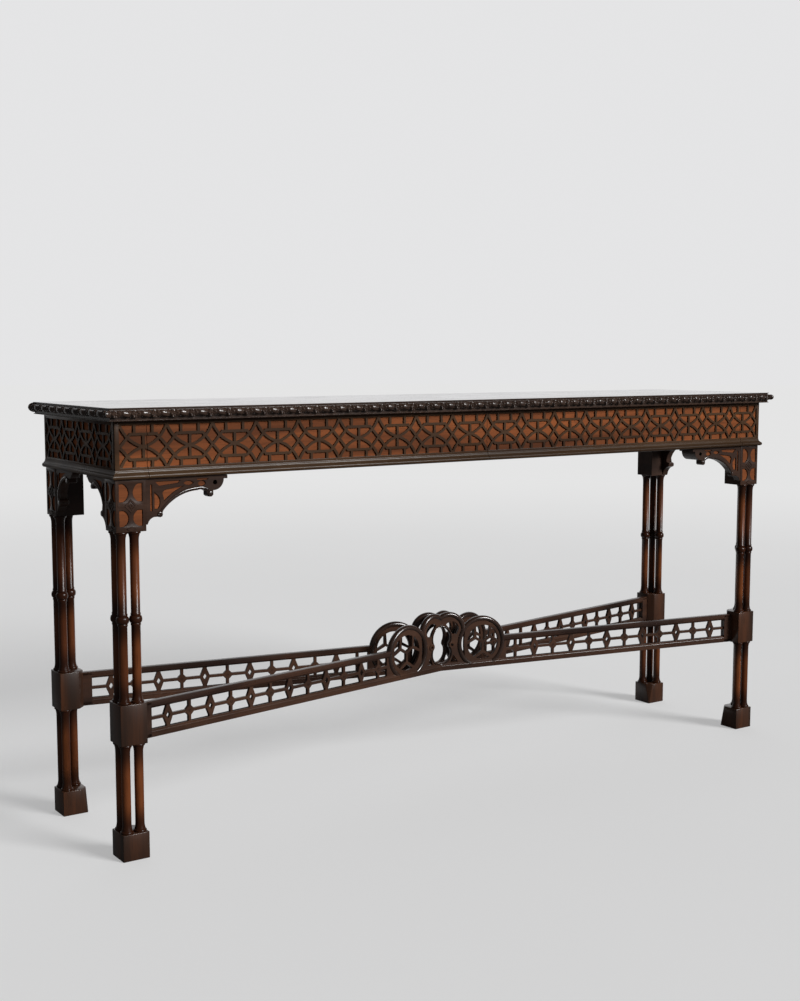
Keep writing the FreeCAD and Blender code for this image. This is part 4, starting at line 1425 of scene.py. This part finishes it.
@dataclass(kw_only=True)
class Leg(CornerAssembly):
    """One leg: post with its capital, columns, block and foot.

    Attributes:
        capital: The capital along the front, along the side and in height.
        capital_foot: Height of the column tops.
        frieze_top: Height of the underside of the top.
        frieze_end: Width of the post behind the frieze.
        fret_thickness: The frieze's fret, which lies on the post.
        sinking: Depth of the ground below the capital's fret.
        openings: Foot and top of the capital's lower and upper openings.
        heart: Height of the lozenges in the middle of the capital.
        outer_lozenge: Half width of the outer one and of its hole.
        inner_lozenge: Half width of the inner one and radius of its hole.
        foot_lozenge: Half width, half height and level of the one at the capital's foot.
        margin: Outer face to the nearest column's axis.
        pitch: Between column axes.
        shaft: Half width of a column.
        foot_top: Height of the foot.
        block: Height of the block's underside and of its top.
        ring: Height of the rings on the upper columns.
        sides: Faces round a column.
        easing: Width of the easing on the block and the foot.
    """

    capital: Place = (61.0, 55.0, 100.0)
    capital_foot: float = 640.0
    frieze_top: float = 850.0
    frieze_end: float = 65.5
    fret_thickness: float = 3.5
    sinking: float = 3.2
    openings: tuple[Point, ...] = ((11.0, 41.5), (57.5, 92.0))
    heart: float = 49.5
    outer_lozenge: Point = (13.5, 8.0)
    inner_lozenge: Point = (5.2, 1.4)
    foot_lozenge: Place = (10.0, 5.4, 5.6)
    margin: float = 13.8
    pitch: float = 27.0
    shaft: float = 9.0
    foot_top: float = 53.0
    block: Point = (228.0, 308.0)
    ring: float = 471.0
    sides: int = 24
    easing: float = 1.3

    def corner(self, inwards: Point) -> Point:
        """The point so far in from the outer corner, along the front and along the side."""
        return (self.side * (self.half_length - inwards[0]), self.end * (self.half_depth - inwards[1]))

    def box(self, near: Point, far: Point) -> list[Point]:
        """A rectangle between two points given from the outer corner."""
        (x1, y1), (x2, y2) = self.corner(near), self.corner(far)
        return rectangle(min(x1, x2), min(y1, y2), max(x1, x2), max(y1, y2))

    def pierced(self, width: float) -> list[list[Point]]:
        """Openings of the capital's fret, four with one straight and one bowed side.

        Args:
            width: Width of the face.

        Returns:
            The openings.
        """
        loops = []
        for low, high in self.openings:
            bow = (width / 2 - 4.5, (low + high) / 2)
            shape = trace((7.0, low), (7.0, high), (15.0, high), (bow, (15.0, low)), chord=3.5)
            loops += [shape, [(width - x, y) for x, y in shape]]
        return loops

    def fret(self, bench: Bench, plane: Plane, width: float, skip: float) -> None:
        """Lay the fret of one face of the capital with its lozenges.

        Args:
            bench: The piece.
            plane: The ground, with its origin at the face's lower left corner.
            width: Width of the face.
            skip: Part of that width, at the right, that the neighbouring face covers; at the left if negative.
        """
        low, high, height = max(0.0, -skip), width - max(0.0, skip), self.capital[2]
        front, middle, heart = self.sinking - 1.1, width / 2, (width / 2, self.heart)
        bench.bar(plane, (low + 2, 2, high - 2, height - 2), [(0, -0.3), (0, 0.2)], 1)
        face = rectangle(low, 0, high, height)
        # The walls of the openings get a near-black painted shade.
        bench.plate(plane, face, self.pierced(width), eased_front(0.0, front, 0.4), hole_finish=2)
        raised = [(0, front - 0.2), (0, self.sinking - 0.5), (0.5, self.sinking)]
        (large, opening), (small, bore), (wide, tall, level) = self.outer_lozenge, self.inner_lozenge, self.foot_lozenge
        for outer, holes in (
            (lozenge(heart, large, large), [lozenge(heart, opening, opening)]),
            (lozenge(heart, small, small), [circle(heart, bore, 8)]),
            (lozenge((middle, level), wide, tall), []),
        ):
            # The lozenges' edges and backs get a near-black painted shade.
            bench.plate(plane, outer, holes, raised, None, 2, 0)
        for way in (-1, 1):
            left, right = ordered(middle + way * 11.0, middle + way * (middle - 4.0))
            lowered = [(0, front - 0.2), (0, self.sinking - 0.9), (0.4, self.sinking - 0.5)]
            bench.bar(plane, (left, self.heart - 1.7, right, self.heart + 1.7), lowered)

    def build_post(self) -> None:
        """Build the post with its capital."""
        wide, deep, height = self.capital
        sink, in_front, thick = self.sinking, self.end is End.FRONT, self.fret_thickness
        bench = Bench()
        flat = Plane((0, 0, self.capital_foot), (1, 0, 0), (0, 1, 0))
        ease = [(0.4, 0.0), (0.0, 0.4), (0.0, height - 0.4), (0.4, height)]
        bench.plate(flat, self.box((sink, sink if in_front else 0.0), (wide, deep)), [], ease)
        upper = [(0.0, height), (0.0, self.frieze_top - self.capital_foot)]
        bench.plate(flat, self.box((thick, thick if in_front else 0.0), (self.frieze_end, deep)), [], upper)
        if in_front:
            left = min(self.corner((0, 0))[0], self.corner((wide, 0))[0])
            self.fret(bench, Facing.FRONT.plane(left, sink - self.half_depth, self.capital_foot), wide, 0.0)
        facing = self.side.facing
        start = min(self.side * y for y in (self.corner((0, 0))[1], self.corner((0, deep))[1]))
        plane = facing.plane(self.side * (self.half_length - sink), self.side * start, self.capital_foot)
        self.fret(bench, plane, deep, -self.side * sink if in_front else 0.0)
        # Finish 2 is the near-black painted shade of the walls.
        woods = [Wood.CARCASE, Wood.GROUND, Wood.RECESS]
        bench.finish("post_" + self.name, "leg_post_" + self.name, Slot.FRET, woods)

    def flare(self, level: float, way: int) -> list[Point]:
        """Turned end of a column, as height and half width, from the end inwards.

        Args:
            level: Height of the end.
            way: 1 where the column rises from it and -1 where it hangs from it.

        Returns:
            The points.
        """
        torus = [(0.0, 12.2), (1.0, 13.0), (3.0, 13.0), (4.2, 12.2)]
        neck = [(4.9, 10.9), (6.5, 10.6), (10.0, 9.7), (15.0, 9.1), (20.0, self.shaft)]
        return [(level + way * rise, width) for rise, width in torus + neck]

    def ringed(self, level: float) -> list[Point]:
        """The ring of an upper column, as height and half width.

        Args:
            level: Height of the ring's middle.

        Returns:
            The points, upwards.
        """
        half = [(12.5, self.shaft), (11.5, 9.9), (8.6, 9.9), (7.4, 9.3), (6.4, 10.6), (4.8, 11.8), (2.4, 12.5)]
        below = [(level - away, width) for away, width in half]
        return below + [(level, 12.7)] + [(level + away, width) for away, width in reversed(half)]

    def build_columns(self) -> None:
        """Turn the three upper and the three lower columns."""
        guides = Guides()
        upper = self.flare(self.block[1], 1) + self.ringed(self.ring) + self.flare(self.capital_foot, -1)[::-1]
        lower = self.flare(self.foot_top, 1) + self.flare(self.block[0], -1)[::-1]
        for shape in (upper, lower):
            guides.line([(0.0, 0.0, height * MM) for height, _ in shape], girth=[width * MM for _, width in shape])
        for step in ((0, 0), (1, 0), (0, 1)):
            x, y = self.corner(tuple(self.margin + self.pitch * part for part in step))
            guides.line([(x * MM, y * MM, 0.0)], centre=1)
        bench = Bench()
        bench.add(self.shop.turning.run(guides.mesh("column_guides"), Wood.COLUMN, Sides=self.sides))
        bench.finish("columns_" + self.name, "leg_columns_" + self.name, Slot.COLUMN, [Wood.COLUMN], smooth=50.0)

    def build(self) -> None:
        """Build the whole leg."""
        self.build_post()
        self.build_columns()
        for part in ("block", "foot"):
            name = "%s_%s" % (part, self.name)
            bench = Bench()
            bench.add(softened("leg_" + name, self.easing))
            bench.finish(name, "leg_" + name, Slot.DARK, [Wood.BLOCK], smooth=60.0)


@dataclass
class Bracket:
    """A pierced bracket under the frieze.

    All shapes are given as how far out from the capital and how far down from the frieze.

    Attributes:
        shop: The machines.
        name: front_left, side_left_front and so on.
        plane: Its outer face, with its origin where it meets the capital and the frieze.
        way: 1 where it runs across the plane and -1 where it runs back.
        outline: Its outline.
        openings: Openings of the fret on its face.
        arch: Middle line of the round moulding along its arch.
        knobs: Middles of the scrolls that end its arch.
        ear: Outline of the deeper ear at its tip, if it has one.
        eye: Middle of the hole in its lobe, if it has one.
        thickness: Front to back.
        ear_depth: The same for the ear.
        sunk: How far its sunk field lies behind its face.
        fret: How far the fret's face lies behind it.
        roll: Half width of the round moulding.
        knob: Radius of the scrolls and their depth.
        eye_radius: Radius of the hole in its lobe.
    """

    shop: Workshop
    name: str
    plane: Plane
    way: int
    outline: list[Point]
    openings: list[list[Point]]
    arch: list[Point]
    knobs: tuple[Point, ...]
    ear: list[Point] = field(default_factory=list)
    eye: Point | None = None
    thickness: float = 20.0
    ear_depth: float = 48.0
    sunk: float = 3.9
    fret: float = 1.8
    roll: float = 3.7
    knob: Point = (5.6, 16.0)
    eye_radius: float = 4.2

    def laid(self, points: list[Point]) -> list[Point]:
        """The points on the plane."""
        return [(self.way * out, -down) for out, down in points]

    def build(self) -> None:
        """Build the bracket."""
        bench, plane, outline = Bench(), self.plane, self.laid(self.outline)
        eye = [circle(self.laid([self.eye])[0], self.eye_radius, 14)] if self.eye else []
        body = [(0.5, -self.thickness), (0.0, 0.5 - self.thickness), (0.0, -self.sunk)]
        # The walls of the eye and of the fret's openings get a near-black painted shade.
        bench.plate(plane, outline, eye, body, None, 0, 1, 2)
        face = [(0.0, -self.sunk), (0.0, -self.fret - 0.4), (0.4, -self.fret)]
        bench.plate(plane, outline, [self.laid(loop) for loop in self.openings] + eye, face, hole_finish=2)
        if self.ear:
            deep = [(0.5, -self.ear_depth), (0.0, 0.5 - self.ear_depth), (0.0, 0.2 - self.thickness)]
            bench.plate(plane, self.laid(self.ear), [], deep)
        guides = Guides()
        guides.line([(*spot, -self.roll) for spot in self.laid(self.arch)])
        width = 2 * self.roll
        arch = self.shop.beads.run(guides.mesh("arch_guide"), Wood.ARCH, Width=width, Depth=width, Sides=14)
        bench.add(arch, plane, 3)
        for spot in self.laid(self.knobs):
            edge = [(0.0, -self.knob[1]), (0.0, -1.2), (0.4, -0.5), (1.3, -0.05)]
            bench.plate(plane, circle(spot, self.knob[0], 20), [], edge, None, 3)
        # Finish 2 is the near-black painted shade of the walls.
        woods = [Wood.CARCASE, Wood.GROUND, Wood.RECESS, Wood.ARCH]
        bench.finish("pierced_bracket_" + self.name, "bracket_" + self.name, Slot.DARK, woods, smooth=40.0)


@dataclass
class Brackets(Assembly):
    """The six brackets.

    Attributes:
        capital_width: Capital along the front.
        capital_depth: Capital along the side.
        front_top: Height of the top of the front brackets.
        side_top: Height of the top of the side brackets.
    """

    capital_width: float = 61.0
    capital_depth: float = 55.0
    front_top: float = 739.0
    side_top: float = 740.0

    def front(self, side: Side) -> Bracket:
        """The bracket beside one front leg.

        Args:
            side: The leg's side.

        Returns:
            The bracket.
        """
        tip = ((173, 0), (173, 7), (165, 7), ((157, 24), (142, 29)))
        outline = trace(
            (0, 0), *tip, (142, 38), (138.5, 41), (132.5, 41), (129, 38), (129, 31), ((122, 27), (108, 27)),
            ((70, 36), (36, 62)), (34, 66), (34, 73.5), (17, 73.5), ((7.5, 79), (3.5, 87)), (0, 87),
        )
        openings = [
            trace((18, 58), (18, 27), ((28, 37), (24.5, 58)), chord=4),
            trace((38.5, 43), (34.5, 28), (40, 22.5), (81, 16.5), ((59, 27), (38.5, 43)), chord=4),
            trace((79, 11.6), ((89, 7.4), (100, 11.6)), ((89, 16), (79, 11.6)), chord=4),
            trace((109, 14), ((117.5, 8.4), (126, 14)), ((117.5, 19), (109, 14)), chord=4),
            trace((9.6, 62), (9.6, 11), (13.2, 11), (13.2, 62)),
            trace((20, 6), (72, 6), (67, 10.6), (28, 14.5)),
            trace((106, 4.5), (132, 4.5), (129, 7.4), (109, 7.4)),
        ]
        bow = trace((32.6, 61), ((67.6, 32.8), (107.5, 23.2)), ((122, 23.2), (132.6, 28)))
        place = Facing.FRONT.plane(side * (self.half_length - self.capital_width), -self.half_depth, self.front_top)
        return Bracket(
            self.shop, "front_" + side.name.lower(), place, -side, outline, openings,
            [(24, 69.8), (30, 69.6), *bow, (135.4, 37)], ((28.8, 69.0), (135.6, 35.6)),
            trace((140, 0), *tip, (140, 29)), (146.0, 13.5),
        )

    def side(self, side: Side, end: End) -> Bracket:
        """The bracket on a side, beside one leg.

        Args:
            side: The side.
            end: The leg's end of it.

        Returns:
            The bracket.
        """
        outline = trace(
            (0, 0), (95, 0), (95, 6), (91, 6), ((84, 13), (72, 16)), (72, 24), (69, 26), (61, 26), (61, 18),
            ((30, 30), (15, 52)), (15, 62), (24, 65), (24, 74), (14, 78), ((6, 86), (2, 97)), (0, 97),
        )
        openings = [
            trace((5, 44), (5, 9), ((14, 18), (8.5, 44)), chord=4),
            trace((19, 28), (15, 15), (19, 8), (60, 6), ((36, 14), (19, 28)), chord=4),
        ]
        bow = trace((11.4, 52), ((27.4, 27.4), (59, 14.6)))
        out = end * (self.half_depth - self.capital_depth)
        return Bracket(
            self.shop, "side_%s_%s" % (side.name.lower(), end.name.lower()),
            side.facing.plane(side * self.half_length, out, self.side_top), -end * side, outline, openings,
            [(20, 69.5), (14, 66), *bow, (66, 21.5)], ((18.6, 69.6), (66.4, 20.6)),
        )

    def build(self) -> None:
        """Build all six."""
        for side in Side:
            for bracket in (self.front(side), self.side(side, End.FRONT), self.side(side, End.REAR)):
                bracket.build()


@dataclass(kw_only=True)
class Stretcher(CornerAssembly):
    """Half of a V-shaped pierced stretcher with its half of the crest.

    It is set out from the middle of the table (across) and from its underside (up).

    Attributes:
        block_face: Middle of the table to the leg block's inner face.
        far: Middle of the table to its mid plane at the block, along the side.
        near: The same where the two stretchers meet.
        level: Height of its underside.
        height: Its height away from the crest.
        thickness: Its rails and crest.
        web: Its pierced field.
        lower_rail: Height of its lower rail.
        upper_rail: Height of its upper rail.
        plain_end: Its plain end at the block.
        over: How much longer it is made before it is sawn off.
        first_node: Middle of the table to the first boss.
        nodes: Lozenges and bosses in it.
        boss: Half width of a boss in the field.
        lozenge: Half width of a lozenge where it meets a rail and in its middle.
        lozenge_hole: Half width and half height of its hole.
        wheel: Axis of the crest's wheel.
        wheel_radius: Outside of the wheel.
        wheel_wall: Plain field beside the wheel.
        bore: Inside of the wheel.
        bore_shift: How far the inside lies out of the wheel's axis, away from the middle.
        ring: Width of the round mouldings of the wheel and the lobe.
        lobe: Axis of the crest's lobe.
        lobe_radius: Outside of the lobe.
        strap: Width of the mid bar, the posts and the spokes.
        keyhole_roll: Width and depth of the round moulding of the keyhole.
        crest_button: Radius, radius of the hole and half depth of the boss in the crest.
        field_button: Radius and radius of the hole of the bosses in the field.
    """

    block_face: float = 821.0
    far: float = 155.4
    near: float = 7.67
    level: float = 229.0
    height: float = 72.0
    thickness: float = 15.0
    web: float = 7.0
    lower_rail: float = 15.5
    upper_rail: float = 14.0
    plain_end: float = 20.6
    over: float = 12.0
    first_node: float = 202.0
    nodes: int = 12
    boss: float = 9.0
    lozenge: Point = (4.5, 12.0)
    lozenge_hole: Point = (4.3, 7.0)
    wheel: Point = (108.0, 60.0)
    wheel_radius: float = 64.0
    wheel_wall: float = 4.0
    bore: float = 41.0
    bore_shift: float = 4.0
    ring: float = 12.4
    lobe: Point = (22.0, 95.0)
    lobe_radius: float = 44.0
    strap: float = 6.5
    keyhole_roll: Point = (5.4, 11.4)
    crest_button: Place = (8.4, 3.2, 5.4)
    field_button: Point = (3.0, 1.5)

    @property
    def run(self) -> float:
        """Its length on its mid plane."""
        return math.hypot(self.block_face, self.far - self.near)

    @property
    def plane(self) -> Plane:
        """Its mid plane."""
        across = (self.side * self.block_face / self.run, self.end * (self.far - self.near) / self.run, 0.0)
        return Plane((0.0, self.end * self.near, self.level), across)

    @property
    def crest_boss(self) -> Point:
        """Middle of the boss between the keyhole and the wheel."""
        return (self.wheel[0] - self.wheel_radius - 14, self.wheel[1])

    def crest(self) -> list[Point]:
        """Outline of the crest with the rail below it.

        Returns:
            The outline, a little past both ends.
        """
        rise = math.sqrt(self.wheel_radius**2 - (self.height - self.wheel[1]) ** 2)
        notch = meeting(self.wheel, self.wheel_radius, self.lobe, self.lobe_radius)
        valley = self.lobe[1] + math.sqrt(self.lobe_radius**2 - self.lobe[0] ** 2)
        other = (-self.lobe[0], self.lobe[1])
        past = self.wheel[0] + self.wheel_radius + self.wheel_wall
        return trace(
            (-12, 3), (past, 3), (past, self.height), (self.wheel[0] + rise, self.height),
            (polar(self.wheel_radius, 80, self.wheel), notch),
            (polar(self.lobe_radius, 75, self.lobe), (0, valley)),
            (polar(self.lobe_radius, 62, other), polar(self.lobe_radius, 76, other)), (-12, 120), chord=3.2,
        )

    def wheel_openings(self) -> list[list[Point]]:
        """Openings between the wheel's three forked spokes.

        Returns:
            The openings.
        """
        centre, bore, strap = (self.wheel[0] + self.bore_shift, self.wheel[1]), self.bore, self.strap
        fork, spread, rim = bore / 2, 30, math.degrees(strap / bore) / 2
        lean = math.degrees(math.atan2(strap / 2, fork))
        loops = []
        for spoke in (30, 150, 270):
            middle = spoke + 60
            heart = polar(strap / 2 / math.sin(math.radians(60)), middle, centre)
            near, far = polar(fork, spoke + lean, centre), polar(fork, spoke + 120 - lean, centre)
            start, stop = polar(bore, spoke + spread + rim, centre), polar(bore, spoke + 120 - spread - rim, centre)
            loops.append(trace(heart, near, start, (polar(bore, middle, centre), stop), far))
            tip = polar(fork + strap, spoke, centre)
            left, right = polar(bore, spoke - spread + rim, centre), polar(bore, spoke + spread - rim, centre)
            loops.append(trace(tip, left, (polar(bore, spoke, centre), right)))
        return loops

    def keyhole(self) -> list[Point]:
        """Half of the keyhole.

        Returns:
            Its outline, a little past the middle.
        """
        rail, (x, y) = self.lower_rail + 2.5, self.crest_boss
        return trace(
            (-30, rail), (0, rail), ((x - 3.5, y - 18.5), (x - 5.5, y - 8.0)), ((x - 9.5, y), (x - 6.5, y + 8.5)),
            ((x - 4.5, y + 21), (0, y + 44.5)), (-30, y + 44.5),
        )

    def crest_openings(self) -> list[list[Point]]:
        """Half of the keyhole, strap gap, corner gap, eye of the boss and slot beside the wheel.

        Returns:
            The openings.
        """
        rail, (x, y) = self.lower_rail + 2.5, self.crest_boss
        strap_gap = trace(
            (x - 15, y + 49.5), ((x + 4, y + 55), (x + 18, y + 36)), (x + 12, y + 25), (x + 1, y + 25.5),
            ((x - 6, y + 38.5), (x - 15, y + 49.5)),
        )
        corner_gap = [(x - 4, rail), (x + 16, rail), (x + 3.5, rail + 18)]
        outer, inner = self.wheel_radius - 9.5, self.bore - self.bore_shift + 9.0
        first, last = polar(outer - 1, 144, self.wheel), polar(outer - 1, 216, self.wheel)
        slot = trace(first, (polar(outer, 180, self.wheel), last), (polar(inner, 180, self.wheel), first))
        return [self.keyhole(), strap_gap, corner_gap, circle((x, y), 4.0, 12), slot]

    def crest_mouldings(self, bench: Bench) -> None:
        """Run the round mouldings of the wheel, the lobe and the keyhole.

        Args:
            bench: The piece.
        """
        inwards, (roll, roll_depth) = self.ring / 2, self.keyhole_roll
        wheel = [polar(self.wheel_radius - inwards, turn, self.wheel) for turn in range(-63, 244, 5)]
        lobe = [polar(self.lobe_radius - inwards, turn, self.lobe) for turn in range(-4, 137, 5)]
        round_keyhole = [spot for spot in inset(wound(self.keyhole(), True), -roll / 2) if spot[0] > -29]
        round_keyhole.append((-8.0, self.wheel[1] + 47.2))
        for lines, width, depth in (((wheel, lobe), self.ring, self.thickness), ((round_keyhole,), roll, roll_depth)):
            guides = Guides()
            for line in lines:
                guides.line(line)
            mesh = guides.mesh("crest_guides")
            bench.add(self.shop.beads.run(mesh, Wood.ARCH, Width=width, Depth=depth, Sides=16), self.plane, 2)

    def field_openings(self) -> tuple[list[list[Point]], list[Point]]:
        """Openings of the pierced field.

        Returns:
            The openings, and the middle of each boss.
        """
        middle = (self.height - self.upper_rail + self.lower_rail) / 2
        roof = (self.height - self.upper_rail - self.lower_rail) / 2
        half, boss, (neck, wide) = self.strap / 2, self.boss, self.lozenge
        shoulder = roof - 3
        at_bar = wide - (wide - neck) * half / shoulder
        beside_boss = [(half, roof), (half, boss + 0.8), (boss - 2.4, boss - 2.4), (boss + 0.8, half)]
        beside_lozenge = [(neck, roof), (neck, shoulder), (at_bar, half)]
        beside_wall = [(0, roof), (0, half)]
        inner_wall = self.wheel[0] + self.wheel_radius + self.wheel_wall
        outer_wall = self.run - self.plain_end
        pitch = (outer_wall - self.first_node) / (self.nodes - 0.2)
        nodes = [self.first_node + number * pitch for number in range(self.nodes)]
        shapes = [beside_lozenge if number % 2 else beside_boss for number in range(self.nodes)]
        stops = [(inner_wall, beside_wall), *zip(nodes, shapes), (outer_wall, beside_wall)]
        loops = []
        for (left, left_shape), (right, right_shape) in zip(stops, stops[1:]):
            for up in (-1, 1):
                loop = [(left + away, middle + up * rise) for away, rise in left_shape]
                loop += [(right - away, middle + up * rise) for away, rise in reversed(right_shape)]
                loops.append(loop)
        loops += [lozenge((at, middle), *self.lozenge_hole) for at in nodes[1::2]]
        return loops, [(at, middle) for at in nodes[::2]]

    def rail_profile(self, low: float, high: float, upper: bool) -> list[Point]:
        """Moulded rail in section, the same on both faces.

        Args:
            low: Its underside.
            high: Its top.
            upper: Whether it is the upper rail, whose roll is at its top.

        Returns:
            The section, as how far out and how far up.
        """
        half, tall = self.thickness / 2, high - low
        roll = [(1.2, 0.0), (0.2, 0.6), (0.0, 2.0)]
        steps = [(0.0, 8.0), (0.9, 7.4), (0.9, 6.6), (0.1, 5.9), (0.0, 4.6), (0.6, 3.2), (2.0, 2.2), (3.4, 0.0)]
        one = [(half - back, up) for back, up in roll] + [(half - back, tall - down) for back, down in steps]
        if upper:
            one = [(out, tall - up) for out, up in reversed(one)]
        right = [(out, low + up) for out, up in one]
        return right + [(-out, up) for out, up in reversed(right)]

    def build_field(self, bench: Bench) -> None:
        """Build the moulded rails and the pierced field between them.

        Args:
            bench: The piece.
        """
        plane, run, over, half, face = self.plane, self.run, self.over, self.thickness / 2, self.web / 2
        foot, roof = self.lower_rail, self.height - self.upper_rail
        inner, outer = self.wheel[0] + self.wheel_radius, run - self.plain_end
        bench.moulding(plane, self.rail_profile(0.0, foot, False), (-over, run + over), finish=1)
        bench.moulding(plane, self.rail_profile(roof, self.height, True), (inner - 6, run + over))
        loops, bosses = self.field_openings()
        panel = rectangle(inner - 2, foot - 4, outer + 4, roof + 4)
        bench.plate(plane, panel, loops, eased_both(face, 0.7), finish=1)
        bench.bar(plane, (outer, 0.2, run + over, self.height - 0.2), eased_both(half, 0.4))
        for back in (1, -1):
            edge = [(0.0, back * (face - 0.3)), (0.0, back * (face + 0.5)), (0.4, back * (face + 0.8))]
            for spot in bosses:
                button, bore = (circle(spot, radius, 12) for radius in self.field_button)
                bench.plate(plane, button, [bore], edge)

    def build_crest(self, bench: Bench) -> None:
        """Build the web of the crest with its boss and its round mouldings.

        Args:
            bench: The piece.
        """
        thin = self.web / 2 - 0.05
        openings = self.wheel_openings() + self.crest_openings()
        bench.plate(self.plane, self.crest(), openings, [(3.5, -thin), (3.5, thin)], eased_both(thin, 0.6), 1)
        boss, (radius, bore, half) = self.crest_boss, self.crest_button
        bench.plate(self.plane, circle(boss, radius, 24), [circle(boss, bore, 12)], eased_both(half, 0.8), None, 1)
        self.crest_mouldings(bench)

    def build(self) -> None:
        """Build the half and saw it off at the middle and at the block."""
        bench = Bench()
        self.build_field(bench)
        self.build_crest(bench)
        bench.saw((0.0, 0.0, 0.0), (-self.side, 0.0, 0.0))
        bench.saw((self.side * self.block_face, 0.0, 0.0), (self.side, 0.0, 0.0))
        woods = [Wood.STRETCHER, Wood.WEB, Wood.ARCH]
        bench.finish("pierced_stretcher_" + self.name, "stretcher_" + self.name, Slot.DARK, woods, smooth=34.0)


class Carcase:
    """The plain boards, whose solids are shown as they are and get their finish here."""

    FIXED = {
        Wood.TOP: ("top_board",),
        Wood.CARCASE: ("apron_back", "apron_left", "apron_right", "front_rail_lower"),
        Wood.INNER: ("front_rail_upper", "glue_blocks"),
        Wood.INNER_CROSS: ("drawer_divider",),
    }
    BESIDE = {
        Wood.INNER_CROSS: ("runner_%s_outer", "runner_%s_inner"),
        Wood.FRONT: ("drawer_%s_front",),
        Wood.OAK_CROSS: ("drawer_%s_side_inner", "drawer_%s_side_outer"),
        Wood.OAK: ("drawer_%s_back", "drawer_%s_bottom"),
    }

    def build(self) -> None:
        """Give every board its finish."""
        boards = [(name, wood) for wood, names in self.FIXED.items() for name in names]
        for side in Side:
            boards += [(name % side.name.lower(), wood) for wood, names in self.BESIDE.items() for name in names]
        for name, wood in boards:
            materials = bpy.data.objects[name].data.materials
            materials.clear()
            materials.append(wood.material())
            LOG.info("%s: finished with %s", name, wood.value.name)


def main() -> None:
    """Build the table's pieces in order."""
    logging.basicConfig(level=logging.INFO, format="%(name)s: %(message)s")
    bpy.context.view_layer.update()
    Studio().build()
    shop = Workshop()
    Carcase().build()
    CarvedEdge(shop).build()
    Frieze(shop).build()
    for end in End:
        for side in Side:
            Leg(shop, side=side, end=end).build()
            Stretcher(shop, side=side, end=end).build()
    Brackets(shop).build()


if __name__ == "__main__":
    main()
